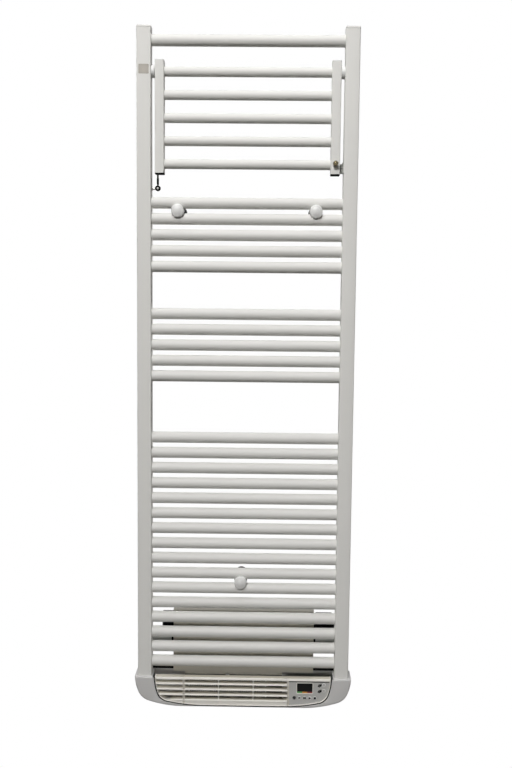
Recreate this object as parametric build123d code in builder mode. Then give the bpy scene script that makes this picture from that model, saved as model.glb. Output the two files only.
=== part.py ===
from build123d import *
import os
from math import sqrt

os.makedirs("parts", exist_ok=True)

# Heated towel rail with a fan blower and a fold-out drying rack, in millimetres.
# Origin: midway between the two upper wall screws, on the wall. +Z is up, the room is at -Y.
# "off" is a distance from the wall into the room, so a point at off = 72 has y = -72.

# Ladder
RUNG_PITCH = 38.5
RUNG_R = 14.0
RUNG_WALL = 1.2
ROWS_ABOVE_ORIGIN = 10.5
TOP_ROW = 0
UPPER_ROWS = range(10, 15)
MIDDLE_ROWS = range(17, 22)
LOWER_ROWS = range(25, 41)
LADDER_OFF = 72.0
UPRIGHT_SPREAD = 535.0
UPRIGHT_WIDTH = 35.0
UPRIGHT_DEPTH = 32.0
UPRIGHT_CORNER_R = 3.0
UPRIGHT_WALL = 1.5
UPRIGHT_FLOOR = 3.0
UPRIGHT_ABOVE_TOP_RUNG = 33.0
PORT_R = 9.0
CAP_HEIGHT = 6.0
CAP_EDGE_R = 2.8
SPIGOT_HEIGHT = 6.0
VENT_R = 5.4
VENT_HEIGHT = 2.0
LABEL_WIDTH = 24.6
LABEL_HEIGHT = 22.0
LABEL_THICKNESS = 0.3
LABEL_BELOW_TOP_RUNG = 69.7
ELEMENT_R = 6.0
ELEMENT_LENGTH = 620.0
ELEMENT_PLUG_R = 11.0
ELEMENT_PLUG_HEAD_R = 13.0
ELEMENT_PLUG_HEAD = 4.0

# Wall brackets
BRACKET_SPACING = 336.0
LOWER_BRACKET_X = -8.0
LOWER_BRACKET_ROW = 34.5
WALL_PLATE_R = 13.0
WALL_PLATE_THICKNESS = 5.0
WALL_SCREW_HOLE_R = 2.75
POST_R = 16.0
POST_TIP_OFF = 66.0
POST_SOLID_LENGTH = 22.0
CLAMP_SCREW_R = 3.0
CLAMP_HEAD_R = 5.0
CLAMP_HEAD_HEIGHT = 5.5
CLAMP_RX = 14.0
CLAMP_RZ = 16.0
CLAMP_BACK_OFF = 74.0
CLAMP_FRONT_OFF = 90.0
DOME_WALL = 2.0
DOME_BACK_OFF = 80.0
DOME_FRONT_OFF = 97.0
DOME_EDGE_R = 4.0
GRUB_R = 2.0
GRUB_LENGTH = 5.5

# Fold-out drying rack
RACK_SIDE_GAP = 8.5
RACK_BAR_WIDTH = 22.5
RACK_BAR_DEPTH = 26.0
RACK_BAR_CORNER_R = 2.5
RACK_BAR_WALL = 1.5
RACK_PIVOT_BELOW_TOP_RUNG = 73.3
RACK_RUNGS = 5
RACK_PITCH = 54.6
RACK_RUNG_R = 11.75
RACK_RUNG_WALL = 1.2
RACK_ABOVE_PIVOT = 27.2
RACK_BELOW_LAST_RUNG = 25.4
RACK_CAP_HEIGHT = 3.0
RACK_CAP_EDGE_R = 1.5
PIVOT_BOSS_R = 15.0
PIVOT_PIN_R = 5.0
PIVOT_SOCKET_DEPTH = 6.0
BUSH_R = 8.0
KNOB_BALL_R = 6.5
KNOB_NECK_R = 3.0
KNOB_NECK = 4.0
KNOB_STUD_R = 2.5
KNOB_ABOVE_LAST_RUNG = 2.5
CATCH_HEIGHT = 23.0
CATCH_SHEET = 2.5
CATCH_REACH = 27.0
CATCH_BELOW_LAST_RUNG = 7.0
MAGNET_WIDTH = 12.0
MAGNET_HEIGHT = 14.0
CATCH_SCREW_R = 1.75
CATCH_SCREW_HEAD_R = 3.2
CATCH_SCREW_LENGTH = 9.0
LATCH_BELOW_BAR = 33.2
LATCH_EYE_R = 6.9
LATCH_THICKNESS = 4.0
LATCH_NECK = 3.2
LATCH_BODY_WIDTH = 5.1
LATCH_TIP_WIDTH = 4.0
LATCH_TIP_LENGTH = 8.0
LATCH_FROM_UPRIGHT = 15.1
LATCH_OFF = 74.0
LATCH_PIN_R = 2.2
LATCH_SCREW_HEAD_R = 3.1
LATCH_SCREW_HEAD = 1.8
LATCH_LUG_R = 4.2
LATCH_LUG_DEPTH = 8.0
LATCH_STEM_R = 3.75

# Blower casing
CASING_BELOW_LAST_RUNG = 35.25
CASING_OVERHANG = 7.5
CASING_BACK_OFF = 34.0
CASING_FRONT_OFF = 94.0
CASING_WALL = 2.5
CASING_EDGE_R = 5.0
SOCKET_DEPTH = 10.0
CHEEK = 50.5
RIM_BELOW_INSERT = 4.0
INSERT_DEPTH = 20.0
INSERT_RIM = 2.6
VISOR_HEIGHT = 7.0
VISOR_EDGE_R = 2.0
LEFT_GRILLE_WIDTH = 74.5
FASCIA_WIDTH = 109.5
GRILLE_RIB = 2.2
BLADES = 4
BLADE_PITCH = 14.3
BLADE_BELOW_TOP = 15.5
BLADE_THICKNESS = 2.0
BLADE_NOSE = 4.6
BLADE_NOSE_DEPTH = 2.5
BLADE_DEPTH = 16.0

# Control fascia
PANEL_RECESS = 3.0
PANEL_THICKNESS = 2.5
DISPLAY_FROM_SPLIT = 42.8
DISPLAY_BELOW_TOP = 25.75
DISPLAY_WIDTH = 39.5
DISPLAY_HEIGHT = 26.0
STRIP_HEIGHT = 4.0
BEZEL = 1.6
BEZEL_PROUD = 0.8
WINDOW_THICKNESS = 1.6
LEDGE = 1.2
MODULE_DEPTH = 4.0
BUTTON_R = 4.3
BUTTON_PROUD = 1.0
BUTTON_TRAVEL = 0.8
BUTTON_FLANGE_R = 5.2
BUTTON_FLANGE = 1.0
BUTTON_STEM = 2.0
BUTTON_ROW_FROM_SPLIT = 16.4
BUTTON_ROW_PITCH = 13.1
BUTTON_ROW_BELOW_TOP = 51.5
SIDE_BUTTONS_FROM_SPLIT = 91.2
SIDE_BUTTONS_BELOW_TOP = (16.5, 31.6)
MAT_THICKNESS = 1.9
BOARD_THICKNESS = 1.6

# Blower unit behind the rungs
HOUSING_SIDE_GAP = 52.5
HOUSING_TOP_BELOW_ROW = 36.7
HOUSING_FRONT_OFF = 54.0
HOUSING_BACK_OFF = 10.0
HOUSING_WALL = 2.0
THROAT_SHORT_OF_FASCIA = 15.0
COVER_THICKNESS = 2.0
FAN_R = 17.5
FAN_LENGTH = 190.0
FAN_X = -40.0
FAN_BELOW_TOP = 62.0
FAN_OFF = 34.0
FAN_BLADES = 18
FAN_BLADE = 1.0
FAN_DISC = 2.0
FAN_SHAFT_R = 2.5
BEARING_R = 7.0
BEARING_LENGTH = 6.0
MOTOR_R = 16.0
MOTOR_LENGTH = 42.0
FILTER_THICKNESS = 2.8
FILTER_HEIGHT = 100.0
FILTER_HALF_WIDTH = 130.0
FILTER_BAR = 5.0
RUNNER = 2.0
RUNNER_LAP = 4.0
INTAKE_SLOTS = 9
INTAKE_PITCH = 9.0
INTAKE_SLOT = 4.5
INTAKE_LENGTH = 100.0
DUCT_WALL = 2.0
DUCT_TOP_BELOW_CASING = 7.0
DUCT_BOTTOM_BELOW_CASING = 71.0
HEATER_FROM_LEFT = 10.0
HEATER_FROM_RIGHT = 40.0
HEATER_DEPTH = 12.0
HEATER_FINS = 36
CUTOUT_R = 5.0
CUTOUT_HEIGHT = 5.0
BOARD_WIDTH = 50.0
BOARD_HEIGHT = 90.0
SIDE_BRACKET_ROW = 38.5
SIDE_BRACKET_HEIGHT = 34.0
SIDE_BRACKET_SHEET = 3.0
SIDE_BRACKET_OVERLAP = 20.0
HOOK_ROW = 37.5
HOOK_WIDTH = 28.0
HOOK_HEIGHT = 44.0
HOOK_DEPTH = 24.0
GLAND_R = 8.0
GLAND_BORE_R = 3.5
GLAND_FROM_SIDE = 70.0
GLAND_LENGTH = 16.0
SCREW_R = 2.0
SCREW_HEAD_R = 4.0
SCREW_HEAD = 2.4
SCREW_LENGTH = 12.0
PILLAR_R = 4.5

# Clearances
FIT = 0.05
GAP = 0.3
SEAT = 0.2


def row_z(row):
    """Height of a rung's axis, counted down from the top rung."""
    return (ROWS_ABOVE_ORIGIN - row) * RUNG_PITCH


UPRIGHT_X = (UPRIGHT_SPREAD - UPRIGHT_WIDTH) / 2
INNER_FACE_X = UPRIGHT_SPREAD / 2 - UPRIGHT_WIDTH
RACK_SPREAD = 2 * (INNER_FACE_X - RACK_SIDE_GAP)
LATCH_X = LATCH_FROM_UPRIGHT - INNER_FACE_X
CASING_HALF_WIDTH = UPRIGHT_SPREAD / 2 + CASING_OVERHANG
INSERT_HALF_WIDTH = CASING_HALF_WIDTH - CHEEK
GRILLE_SPLIT_X = LEFT_GRILLE_WIDTH - INSERT_HALF_WIDTH
FASCIA_SPLIT_X = INSERT_HALF_WIDTH - FASCIA_WIDTH
DISPLAY_X = FASCIA_SPLIT_X + DISPLAY_FROM_SPLIT
BUTTON_ROW_X = FASCIA_SPLIT_X + BUTTON_ROW_FROM_SPLIT
SIDE_BUTTON_X = FASCIA_SPLIT_X + SIDE_BUTTONS_FROM_SPLIT
HOUSING_HALF_WIDTH = INNER_FACE_X - HOUSING_SIDE_GAP
GLAND_X = CASING_HALF_WIDTH - GLAND_FROM_SIDE
UPRIGHT_FRONT = LADDER_OFF + UPRIGHT_DEPTH / 2
UPRIGHT_BACK = LADDER_OFF - UPRIGHT_DEPTH / 2
LADDER_TOP_Z = row_z(TOP_ROW) + UPRIGHT_ABOVE_TOP_RUNG
UPRIGHT_TOP_Z = LADDER_TOP_Z - CAP_HEIGHT
CASING_TOP_Z = row_z(LOWER_ROWS[-1]) - CASING_BELOW_LAST_RUNG
UPRIGHT_BOTTOM_Z = CASING_TOP_Z - SOCKET_DEPTH
PILLAR_Z = UPRIGHT_BOTTOM_Z + UPRIGHT_FLOOR + SCREW_R + 0.5
ALL_ROWS = [TOP_ROW, *UPPER_ROWS, *MIDDLE_ROWS, *LOWER_ROWS]

PIVOT_Z = row_z(TOP_ROW) - RACK_PIVOT_BELOW_TOP_RUNG
RACK_X = (RACK_SPREAD - RACK_BAR_WIDTH) / 2
RACK_INNER_X = RACK_SPREAD / 2 - RACK_BAR_WIDTH
RACK_TOP_Z = PIVOT_Z + RACK_ABOVE_PIVOT
LAST_RACK_RUNG_Z = PIVOT_Z - (RACK_RUNGS - 1) * RACK_PITCH
RACK_BOTTOM_Z = LAST_RACK_RUNG_Z - RACK_BELOW_LAST_RUNG
RACK_FRONT = LADDER_OFF + RACK_BAR_DEPTH / 2
RACK_BACK = LADDER_OFF - RACK_BAR_DEPTH / 2
LATCH_Z = RACK_BOTTOM_Z - LATCH_BELOW_BAR

PANEL_FRONT = CASING_FRONT_OFF - PANEL_RECESS
PANEL_BACK = PANEL_FRONT - PANEL_THICKNESS
INSERT_BACK = CASING_FRONT_OFF - INSERT_DEPTH
HOUSING_TOP_Z = row_z(HOUSING_TOP_BELOW_ROW)
HOUSING_BOTTOM_Z = CASING_TOP_Z + GAP
FAN_Z = HOUSING_TOP_Z - FAN_BELOW_TOP
DUCT_TOP_Z = CASING_TOP_Z - DUCT_TOP_BELOW_CASING
DUCT_BOTTOM_Z = CASING_TOP_Z - DUCT_BOTTOM_BELOW_CASING
DUCT_BACK = CASING_BACK_OFF + CASING_WALL + GAP
SOCKET_INNER_X = INNER_FACE_X - CASING_WALL - GAP

BRACKETS = [
    (-BRACKET_SPACING / 2, 0.0),
    (BRACKET_SPACING / 2, 0.0),
    (LOWER_BRACKET_X, row_z(LOWER_BRACKET_ROW)),
]


def mid(span):
    return (span[0] + span[1]) / 2


def block(x_span, off_span, z_span, mode=Mode.ADD):
    """Box between two x, two distances off the wall and two heights."""
    with Locations((mid(x_span), -mid(off_span), mid(z_span))):
        Box(x_span[1] - x_span[0], off_span[1] - off_span[0], z_span[1] - z_span[0], mode=mode)


def bar_x(x_span, off, z, radius, mode=Mode.ADD):
    """Round bar along X."""
    with Locations(Location((mid(x_span), -off, z), (0, 90, 0))):
        Cylinder(radius, x_span[1] - x_span[0], mode=mode)


def bar_y(off_span, x, z, radius, mode=Mode.ADD):
    """Round bar square to the wall."""
    with Locations(Location((x, -mid(off_span), z), (90, 0, 0))):
        Cylinder(radius, off_span[1] - off_span[0], mode=mode)


def bar_z(z_span, x, off, radius, mode=Mode.ADD):
    """Round bar along Z."""
    with Locations((x, -off, mid(z_span))):
        Cylinder(radius, z_span[1] - z_span[0], mode=mode)


def side_span(side, near, far):
    """Span between two distances from the middle, on the side given by its sign."""
    return (near, far) if side > 0 else (-far, -near)


# Uprights
def upright(side):
    with BuildPart() as tube:
        with BuildSketch(Plane.XY.offset(UPRIGHT_BOTTOM_Z)):
            with Locations((side * UPRIGHT_X, -LADDER_OFF)):
                RectangleRounded(UPRIGHT_WIDTH, UPRIGHT_DEPTH, UPRIGHT_CORNER_R)
        extrude(amount=UPRIGHT_TOP_Z - UPRIGHT_BOTTOM_Z)
        with BuildSketch(Plane.XY.offset(UPRIGHT_BOTTOM_Z + UPRIGHT_FLOOR)):
            with Locations((side * UPRIGHT_X, -LADDER_OFF)):
                RectangleRounded(
                    UPRIGHT_WIDTH - 2 * UPRIGHT_WALL,
                    UPRIGHT_DEPTH - 2 * UPRIGHT_WALL,
                    UPRIGHT_CORNER_R - UPRIGHT_WALL / 2,
                )
        extrude(amount=UPRIGHT_TOP_Z - UPRIGHT_BOTTOM_Z, mode=Mode.SUBTRACT)
        with BuildSketch(Plane.YZ.offset(side * INNER_FACE_X)):
            with Locations([(-LADDER_OFF, row_z(row)) for row in ALL_ROWS]):
                Circle(PORT_R)
        extrude(amount=side * 2 * UPRIGHT_WALL, mode=Mode.SUBTRACT)
        screw_off = (UPRIGHT_BACK - UPRIGHT_WALL, UPRIGHT_BACK + 2 * UPRIGHT_WALL)
        bar_y(screw_off, side * UPRIGHT_X, PILLAR_Z, SCREW_R + SEAT, Mode.SUBTRACT)
        if side > 0:
            floor = (UPRIGHT_BOTTOM_Z - 1, UPRIGHT_BOTTOM_Z + UPRIGHT_FLOOR + 1)
            bar_z(floor, UPRIGHT_X, LADDER_OFF, ELEMENT_PLUG_R, Mode.SUBTRACT)
    return tube


left_upright = upright(-1)
left_upright.part.label = "left_upright"
export_step(left_upright.part, "parts/left_upright.step")

right_upright = upright(1)
right_upright.part.label = "right_upright"
export_step(right_upright.part, "parts/right_upright.step")


# Rungs
def rungs(rows):
    with BuildPart() as group:
        with BuildSketch(Plane.YZ.offset(-INNER_FACE_X)):
            with Locations([(-LADDER_OFF, row_z(row)) for row in rows]):
                Circle(RUNG_R)
                Circle(RUNG_R - RUNG_WALL, mode=Mode.SUBTRACT)
        extrude(amount=2 * INNER_FACE_X)
    return group


top_rung = rungs([TOP_ROW])
top_rung.part.label = "top_rung"
export_step(top_rung.part, "parts/top_rung.step")

upper_rungs = rungs(UPPER_ROWS)
upper_rungs.part.label = "upper_rungs"
export_step(upper_rungs.part, "parts/upper_rungs.step")

middle_rungs = rungs(MIDDLE_ROWS)
middle_rungs.part.label = "middle_rungs"
export_step(middle_rungs.part, "parts/middle_rungs.step")

lower_rungs = rungs(LOWER_ROWS)
lower_rungs.part.label = "lower_rungs"
export_step(lower_rungs.part, "parts/lower_rungs.step")

# Caps that close the uprights at the top
with BuildPart() as upright_caps:
    with BuildSketch(Plane.XY.offset(UPRIGHT_TOP_Z)):
        with Locations((-UPRIGHT_X, -LADDER_OFF), (UPRIGHT_X, -LADDER_OFF)):
            RectangleRounded(UPRIGHT_WIDTH, UPRIGHT_DEPTH, UPRIGHT_CORNER_R)
    extrude(amount=CAP_HEIGHT)
    fillet(upright_caps.edges().group_by(Axis.Z)[-1], CAP_EDGE_R)
    with BuildSketch(Plane.XY.offset(UPRIGHT_TOP_Z)):
        with Locations((-UPRIGHT_X, -LADDER_OFF), (UPRIGHT_X, -LADDER_OFF)):
            Rectangle(
                UPRIGHT_WIDTH - 2 * UPRIGHT_CORNER_R - 2 * SEAT,
                UPRIGHT_DEPTH - 2 * UPRIGHT_CORNER_R - 2 * SEAT,
            )
    extrude(amount=-SPIGOT_HEIGHT)
upright_caps.part.label = "upright_caps"
export_step(upright_caps.part, "parts/upright_caps.step")

# Vent plug on the left cap
with BuildPart() as vent_plug:
    bar_z((LADDER_TOP_Z, LADDER_TOP_Z + VENT_HEIGHT), -UPRIGHT_X, LADDER_OFF, VENT_R)
    chamfer(vent_plug.edges().group_by(Axis.Z)[-1], VENT_HEIGHT / 3)
vent_plug.part.label = "vent_plug"
export_step(vent_plug.part, "parts/vent_plug.step")

# Blank label on the front of the left upright
LABEL_Z = row_z(TOP_ROW) - LABEL_BELOW_TOP_RUNG
with BuildPart() as blank_label:
    block(
        (-UPRIGHT_X - LABEL_WIDTH / 2, -UPRIGHT_X + LABEL_WIDTH / 2),
        (UPRIGHT_FRONT, UPRIGHT_FRONT + LABEL_THICKNESS),
        (LABEL_Z - LABEL_HEIGHT / 2, LABEL_Z + LABEL_HEIGHT / 2),
    )
blank_label.part.label = "blank_label"
export_step(blank_label.part, "parts/blank_label.step")

# Heating element screwed into the floor of the right upright
with BuildPart() as heating_element:
    plug = (UPRIGHT_BOTTOM_Z, UPRIGHT_BOTTOM_Z + UPRIGHT_FLOOR)
    bar_z(plug, UPRIGHT_X, LADDER_OFF, ELEMENT_PLUG_R - FIT)
    bar_z((plug[0] - ELEMENT_PLUG_HEAD, plug[0]), UPRIGHT_X, LADDER_OFF, ELEMENT_PLUG_HEAD_R)
    bar_z((plug[1], plug[1] + ELEMENT_LENGTH), UPRIGHT_X, LADDER_OFF, ELEMENT_R)
heating_element.part.label = "heating_element"
export_step(heating_element.part, "parts/heating_element.step")


# Wall brackets: plate on the wall, post over it, clamp, screw and domed cap
def cut_rungs(z, clearance):
    """Take away the two rungs that a bracket at height z holds, with a clearance."""
    for step in (-0.5, 0.5):
        bar_x((-INNER_FACE_X, INNER_FACE_X), LADDER_OFF, z + step * RUNG_PITCH,
              RUNG_R + clearance, Mode.SUBTRACT)


GRUB_OFF = WALL_PLATE_THICKNESS / 2
CLAMP_SEAT_OFF = CLAMP_FRONT_OFF - CLAMP_HEAD_HEIGHT - GAP

with BuildPart() as wall_plates:
    for x, z in BRACKETS:
        bar_y((0, WALL_PLATE_THICKNESS), x, z, WALL_PLATE_R)
        bar_y((0, WALL_PLATE_THICKNESS), x, z, WALL_SCREW_HOLE_R, Mode.SUBTRACT)
        bar_z((z - WALL_PLATE_R, z - WALL_PLATE_R + GRUB_LENGTH - POST_R + WALL_PLATE_R + SEAT),
              x, GRUB_OFF, GRUB_R + FIT, Mode.SUBTRACT)
wall_plates.part.label = "wall_plates"
export_step(wall_plates.part, "parts/wall_plates.step")

with BuildPart() as bracket_posts:
    for x, z in BRACKETS:
        bar_y((0, POST_TIP_OFF), x, z, POST_R)
        bar_y((0, POST_TIP_OFF - POST_SOLID_LENGTH), x, z, WALL_PLATE_R + SEAT, Mode.SUBTRACT)
        bar_y((POST_TIP_OFF - POST_SOLID_LENGTH, POST_TIP_OFF), x, z, CLAMP_SCREW_R + FIT,
              Mode.SUBTRACT)
        bar_z((z - POST_R, z - WALL_PLATE_R), x, GRUB_OFF, GRUB_R + FIT, Mode.SUBTRACT)
        cut_rungs(z, SEAT)
bracket_posts.part.label = "bracket_posts"
export_step(bracket_posts.part, "parts/bracket_posts.step")

with BuildPart() as clamp_plates:
    with BuildSketch(Plane.XZ.offset(CLAMP_BACK_OFF)):
        with Locations(BRACKETS):
            Ellipse(CLAMP_RX, CLAMP_RZ)
    extrude(amount=CLAMP_FRONT_OFF - CLAMP_BACK_OFF)
    for x, z in BRACKETS:
        bar_y((CLAMP_BACK_OFF, CLAMP_FRONT_OFF), x, z, CLAMP_SCREW_R + SEAT, Mode.SUBTRACT)
        bar_y((CLAMP_SEAT_OFF, CLAMP_FRONT_OFF), x, z, CLAMP_HEAD_R + SEAT, Mode.SUBTRACT)
        cut_rungs(z, SEAT)
clamp_plates.part.label = "clamp_plates"
export_step(clamp_plates.part, "parts/clamp_plates.step")

with BuildPart() as bracket_screws:
    for x, z in BRACKETS:
        bar_z((z - POST_R, z - POST_R + GRUB_LENGTH), x, GRUB_OFF, GRUB_R)
        bar_y((CLAMP_SEAT_OFF, CLAMP_SEAT_OFF + CLAMP_HEAD_HEIGHT), x, z, CLAMP_HEAD_R)
        bar_y((POST_TIP_OFF - POST_SOLID_LENGTH / 2, CLAMP_SEAT_OFF), x, z, CLAMP_SCREW_R)
bracket_screws.part.label = "bracket_screws"
export_step(bracket_screws.part, "parts/bracket_screws.step")

with BuildPart() as bracket_caps:
    with BuildSketch(Plane.XZ.offset(DOME_BACK_OFF)):
        with Locations(BRACKETS):
            Ellipse(CLAMP_RX + SEAT + DOME_WALL, CLAMP_RZ + SEAT + DOME_WALL)
    extrude(amount=DOME_FRONT_OFF - DOME_BACK_OFF)
    fillet(bracket_caps.edges().group_by(Axis.Y)[0], DOME_EDGE_R)
    with BuildSketch(Plane.XZ.offset(DOME_BACK_OFF)):
        with Locations(BRACKETS):
            Ellipse(CLAMP_RX + SEAT, CLAMP_RZ + SEAT)
    extrude(amount=CLAMP_FRONT_OFF + SEAT - DOME_BACK_OFF, mode=Mode.SUBTRACT)
    for x, z in BRACKETS:
        cut_rungs(z, SEAT)
bracket_caps.part.label = "bracket_caps"
export_step(bracket_caps.part, "parts/bracket_caps.step")


# Rack bars, hinged on two pins below the top rung
def rack_bar(side):
    with BuildPart() as tube:
        with BuildSketch(Plane.XY.offset(RACK_BOTTOM_Z + RACK_CAP_HEIGHT)):
            with Locations((side * RACK_X, -LADDER_OFF)):
                RectangleRounded(RACK_BAR_WIDTH, RACK_BAR_DEPTH, RACK_BAR_CORNER_R)
                Rectangle(
                    RACK_BAR_WIDTH - 2 * RACK_BAR_WALL,
                    RACK_BAR_DEPTH - 2 * RACK_BAR_WALL,
                    mode=Mode.SUBTRACT,
                )
        extrude(amount=RACK_TOP_Z - RACK_BOTTOM_Z - 2 * RACK_CAP_HEIGHT)
        bar_x(side_span(side, RACK_INNER_X, RACK_SPREAD / 2), LADDER_OFF, PIVOT_Z, BUSH_R,
              Mode.SUBTRACT)
        if side > 0:
            bar_y((RACK_FRONT - RACK_BAR_WALL, RACK_FRONT), RACK_X, KNOB_Z, KNOB_STUD_R + SEAT,
                  Mode.SUBTRACT)
    return tube


KNOB_Z = LAST_RACK_RUNG_Z + KNOB_ABOVE_LAST_RUNG

rack_left_bar = rack_bar(-1)
rack_left_bar.part.label = "rack_left_bar"
export_step(rack_left_bar.part, "parts/rack_left_bar.step")

rack_right_bar = rack_bar(1)
rack_right_bar.part.label = "rack_right_bar"
export_step(rack_right_bar.part, "parts/rack_right_bar.step")

with BuildPart() as rack_rungs:
    with BuildSketch(Plane.YZ.offset(-RACK_INNER_X)):
        with Locations([(-LADDER_OFF, PIVOT_Z - i * RACK_PITCH) for i in range(RACK_RUNGS)]):
            Circle(RACK_RUNG_R)
            Circle(RACK_RUNG_R - RACK_RUNG_WALL, mode=Mode.SUBTRACT)
    extrude(amount=2 * RACK_INNER_X)
rack_rungs.part.label = "rack_rungs"
export_step(rack_rungs.part, "parts/rack_rungs.step")


def rack_caps(z, toward):
    """End caps of both rack bars, with a spigot that points into the bar."""
    with BuildPart() as caps:
        with BuildSketch(Plane.XY.offset(z)):
            with Locations((-RACK_X, -LADDER_OFF), (RACK_X, -LADDER_OFF)):
                RectangleRounded(RACK_BAR_WIDTH, RACK_BAR_DEPTH, RACK_BAR_CORNER_R)
        extrude(amount=-toward * RACK_CAP_HEIGHT)
        fillet(caps.edges().group_by(Axis.Z)[0 if toward > 0 else -1], RACK_CAP_EDGE_R)
        with BuildSketch(Plane.XY.offset(z)):
            with Locations((-RACK_X, -LADDER_OFF), (RACK_X, -LADDER_OFF)):
                Rectangle(
                    RACK_BAR_WIDTH - 2 * RACK_BAR_WALL - 2 * SEAT,
                    RACK_BAR_DEPTH - 2 * RACK_BAR_WALL - 2 * SEAT,
                )
        extrude(amount=toward * RACK_CAP_HEIGHT)
    return caps


rack_top_caps = rack_caps(RACK_TOP_Z - RACK_CAP_HEIGHT, -1)
rack_top_caps.part.label = "rack_top_caps"
export_step(rack_top_caps.part, "parts/rack_top_caps.step")

rack_bottom_caps = rack_caps(RACK_BOTTOM_Z + RACK_CAP_HEIGHT, 1)
rack_bottom_caps.part.label = "rack_bottom_caps"
export_step(rack_bottom_caps.part, "parts/rack_bottom_caps.step")

# Pivots: a boss on each upright, a pin in the boss and a bush in the bar
with BuildPart() as pivot_bosses:
    for side in (-1, 1):
        boss = side_span(side, RACK_SPREAD / 2 + GAP, INNER_FACE_X)
        bar_x(boss, LADDER_OFF, PIVOT_Z, PIVOT_BOSS_R)
        socket = side_span(side, RACK_SPREAD / 2 + GAP, RACK_SPREAD / 2 + GAP + PIVOT_SOCKET_DEPTH)
        bar_x(socket, LADDER_OFF, PIVOT_Z, PIVOT_PIN_R + FIT, Mode.SUBTRACT)
pivot_bosses.part.label = "pivot_bosses"
export_step(pivot_bosses.part, "parts/pivot_bosses.step")

with BuildPart() as pivot_pins:
    for side in (-1, 1):
        pin = side_span(side, RACK_INNER_X + GAP, RACK_SPREAD / 2 + GAP + PIVOT_SOCKET_DEPTH)
        bar_x(pin, LADDER_OFF, PIVOT_Z, PIVOT_PIN_R)
pivot_pins.part.label = "pivot_pins"
export_step(pivot_pins.part, "parts/pivot_pins.step")

with BuildPart() as pivot_bushes:
    for side in (-1, 1):
        bush = side_span(side, RACK_INNER_X, RACK_SPREAD / 2)
        bar_x(bush, LADDER_OFF, PIVOT_Z, BUSH_R - FIT)
        bar_x(bush, LADDER_OFF, PIVOT_Z, PIVOT_PIN_R + FIT, Mode.SUBTRACT)
pivot_bushes.part.label = "pivot_bushes"
export_step(pivot_bushes.part, "parts/pivot_bushes.step")

# Ball knob on the right bar
with BuildPart() as pull_knob:
    ball_off = RACK_FRONT + KNOB_NECK + KNOB_BALL_R * 0.8
    with Locations((RACK_X, -ball_off, KNOB_Z)):
        Sphere(KNOB_BALL_R)
    bar_y((RACK_FRONT, ball_off), RACK_X, KNOB_Z, KNOB_NECK_R)
    bar_y((RACK_FRONT - 2 * RACK_BAR_WALL, RACK_FRONT), RACK_X, KNOB_Z, KNOB_STUD_R)
pull_knob.part.label = "pull_knob"
export_step(pull_knob.part, "parts/pull_knob.step")

# Magnetic catch on the right upright: an angle plate that reaches behind the rack bar
CATCH_Z = LAST_RACK_RUNG_Z - CATCH_BELOW_LAST_RUNG
CATCH_Z_SPAN = (CATCH_Z - CATCH_HEIGHT / 2, CATCH_Z + CATCH_HEIGHT / 2)
CATCH_FRONT = UPRIGHT_BACK
CATCH_SCREW_OFFS = (LADDER_OFF - UPRIGHT_DEPTH / 6, LADDER_OFF + UPRIGHT_DEPTH / 6)

with BuildPart() as catch_plate:
    flange_x = (INNER_FACE_X - CATCH_SHEET, INNER_FACE_X)
    block(flange_x, (CATCH_FRONT - CATCH_SHEET, UPRIGHT_FRONT - UPRIGHT_CORNER_R), CATCH_Z_SPAN)
    block((INNER_FACE_X - CATCH_REACH, INNER_FACE_X), (CATCH_FRONT - CATCH_SHEET, CATCH_FRONT),
          CATCH_Z_SPAN)
    for off in CATCH_SCREW_OFFS:
        bar_x(flange_x, off, CATCH_Z, CATCH_SCREW_R + FIT, Mode.SUBTRACT)
catch_plate.part.label = "catch_plate"
export_step(catch_plate.part, "parts/catch_plate.step")

with BuildPart() as catch_magnet:
    block((RACK_X - MAGNET_WIDTH / 2, RACK_X + MAGNET_WIDTH / 2), (CATCH_FRONT, RACK_BACK - GAP),
          (CATCH_Z - MAGNET_HEIGHT / 2, CATCH_Z + MAGNET_HEIGHT / 2))
catch_magnet.part.label = "catch_magnet"
export_step(catch_magnet.part, "parts/catch_magnet.step")

# Swing latch under the left bar: stud on the upright, arm with an eye, and its screw
LATCH_OFF_SPAN = (LATCH_OFF - LATCH_THICKNESS / 2, LATCH_OFF + LATCH_THICKNESS / 2)
LATCH_TOP = LATCH_BELOW_BAR - 2.5 * GAP
LUG_FRONT = LATCH_OFF_SPAN[0] - GAP

with BuildPart() as latch_stud:
    bar_x((-INNER_FACE_X, LATCH_X), LUG_FRONT - LATCH_STEM_R, LATCH_Z, LATCH_STEM_R)
    bar_y((LUG_FRONT - LATCH_LUG_DEPTH, LUG_FRONT), LATCH_X, LATCH_Z, LATCH_LUG_R)
    bar_y((LUG_FRONT - LATCH_LUG_DEPTH / 2, LUG_FRONT), LATCH_X, LATCH_Z, LATCH_PIN_R + FIT,
          Mode.SUBTRACT)
latch_stud.part.label = "latch_stud"
export_step(latch_stud.part, "parts/latch_stud.step")

with BuildPart() as latch_arm:
    bar_y(LATCH_OFF_SPAN, LATCH_X, LATCH_Z, LATCH_EYE_R)
    with BuildSketch(Plane.XZ.offset(LATCH_OFF_SPAN[0])):
        with Locations((LATCH_X, LATCH_Z + LATCH_EYE_R)):
            Rectangle(LATCH_NECK, LATCH_EYE_R)
        body_top = LATCH_TOP - LATCH_TIP_LENGTH
        body_bottom = LATCH_EYE_R + LATCH_NECK / 2
        with Locations((LATCH_X, LATCH_Z + (body_top + body_bottom) / 2)):
            SlotOverall(body_top - body_bottom + LATCH_NECK, LATCH_BODY_WIDTH, rotation=90)
        with Locations((LATCH_X, LATCH_Z + (LATCH_TOP + body_bottom) / 2)):
            SlotOverall(LATCH_TOP - body_bottom, LATCH_TIP_WIDTH, rotation=90)
    extrude(amount=LATCH_THICKNESS)
    bar_y(LATCH_OFF_SPAN, LATCH_X, LATCH_Z, LATCH_PIN_R + FIT, Mode.SUBTRACT)
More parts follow.
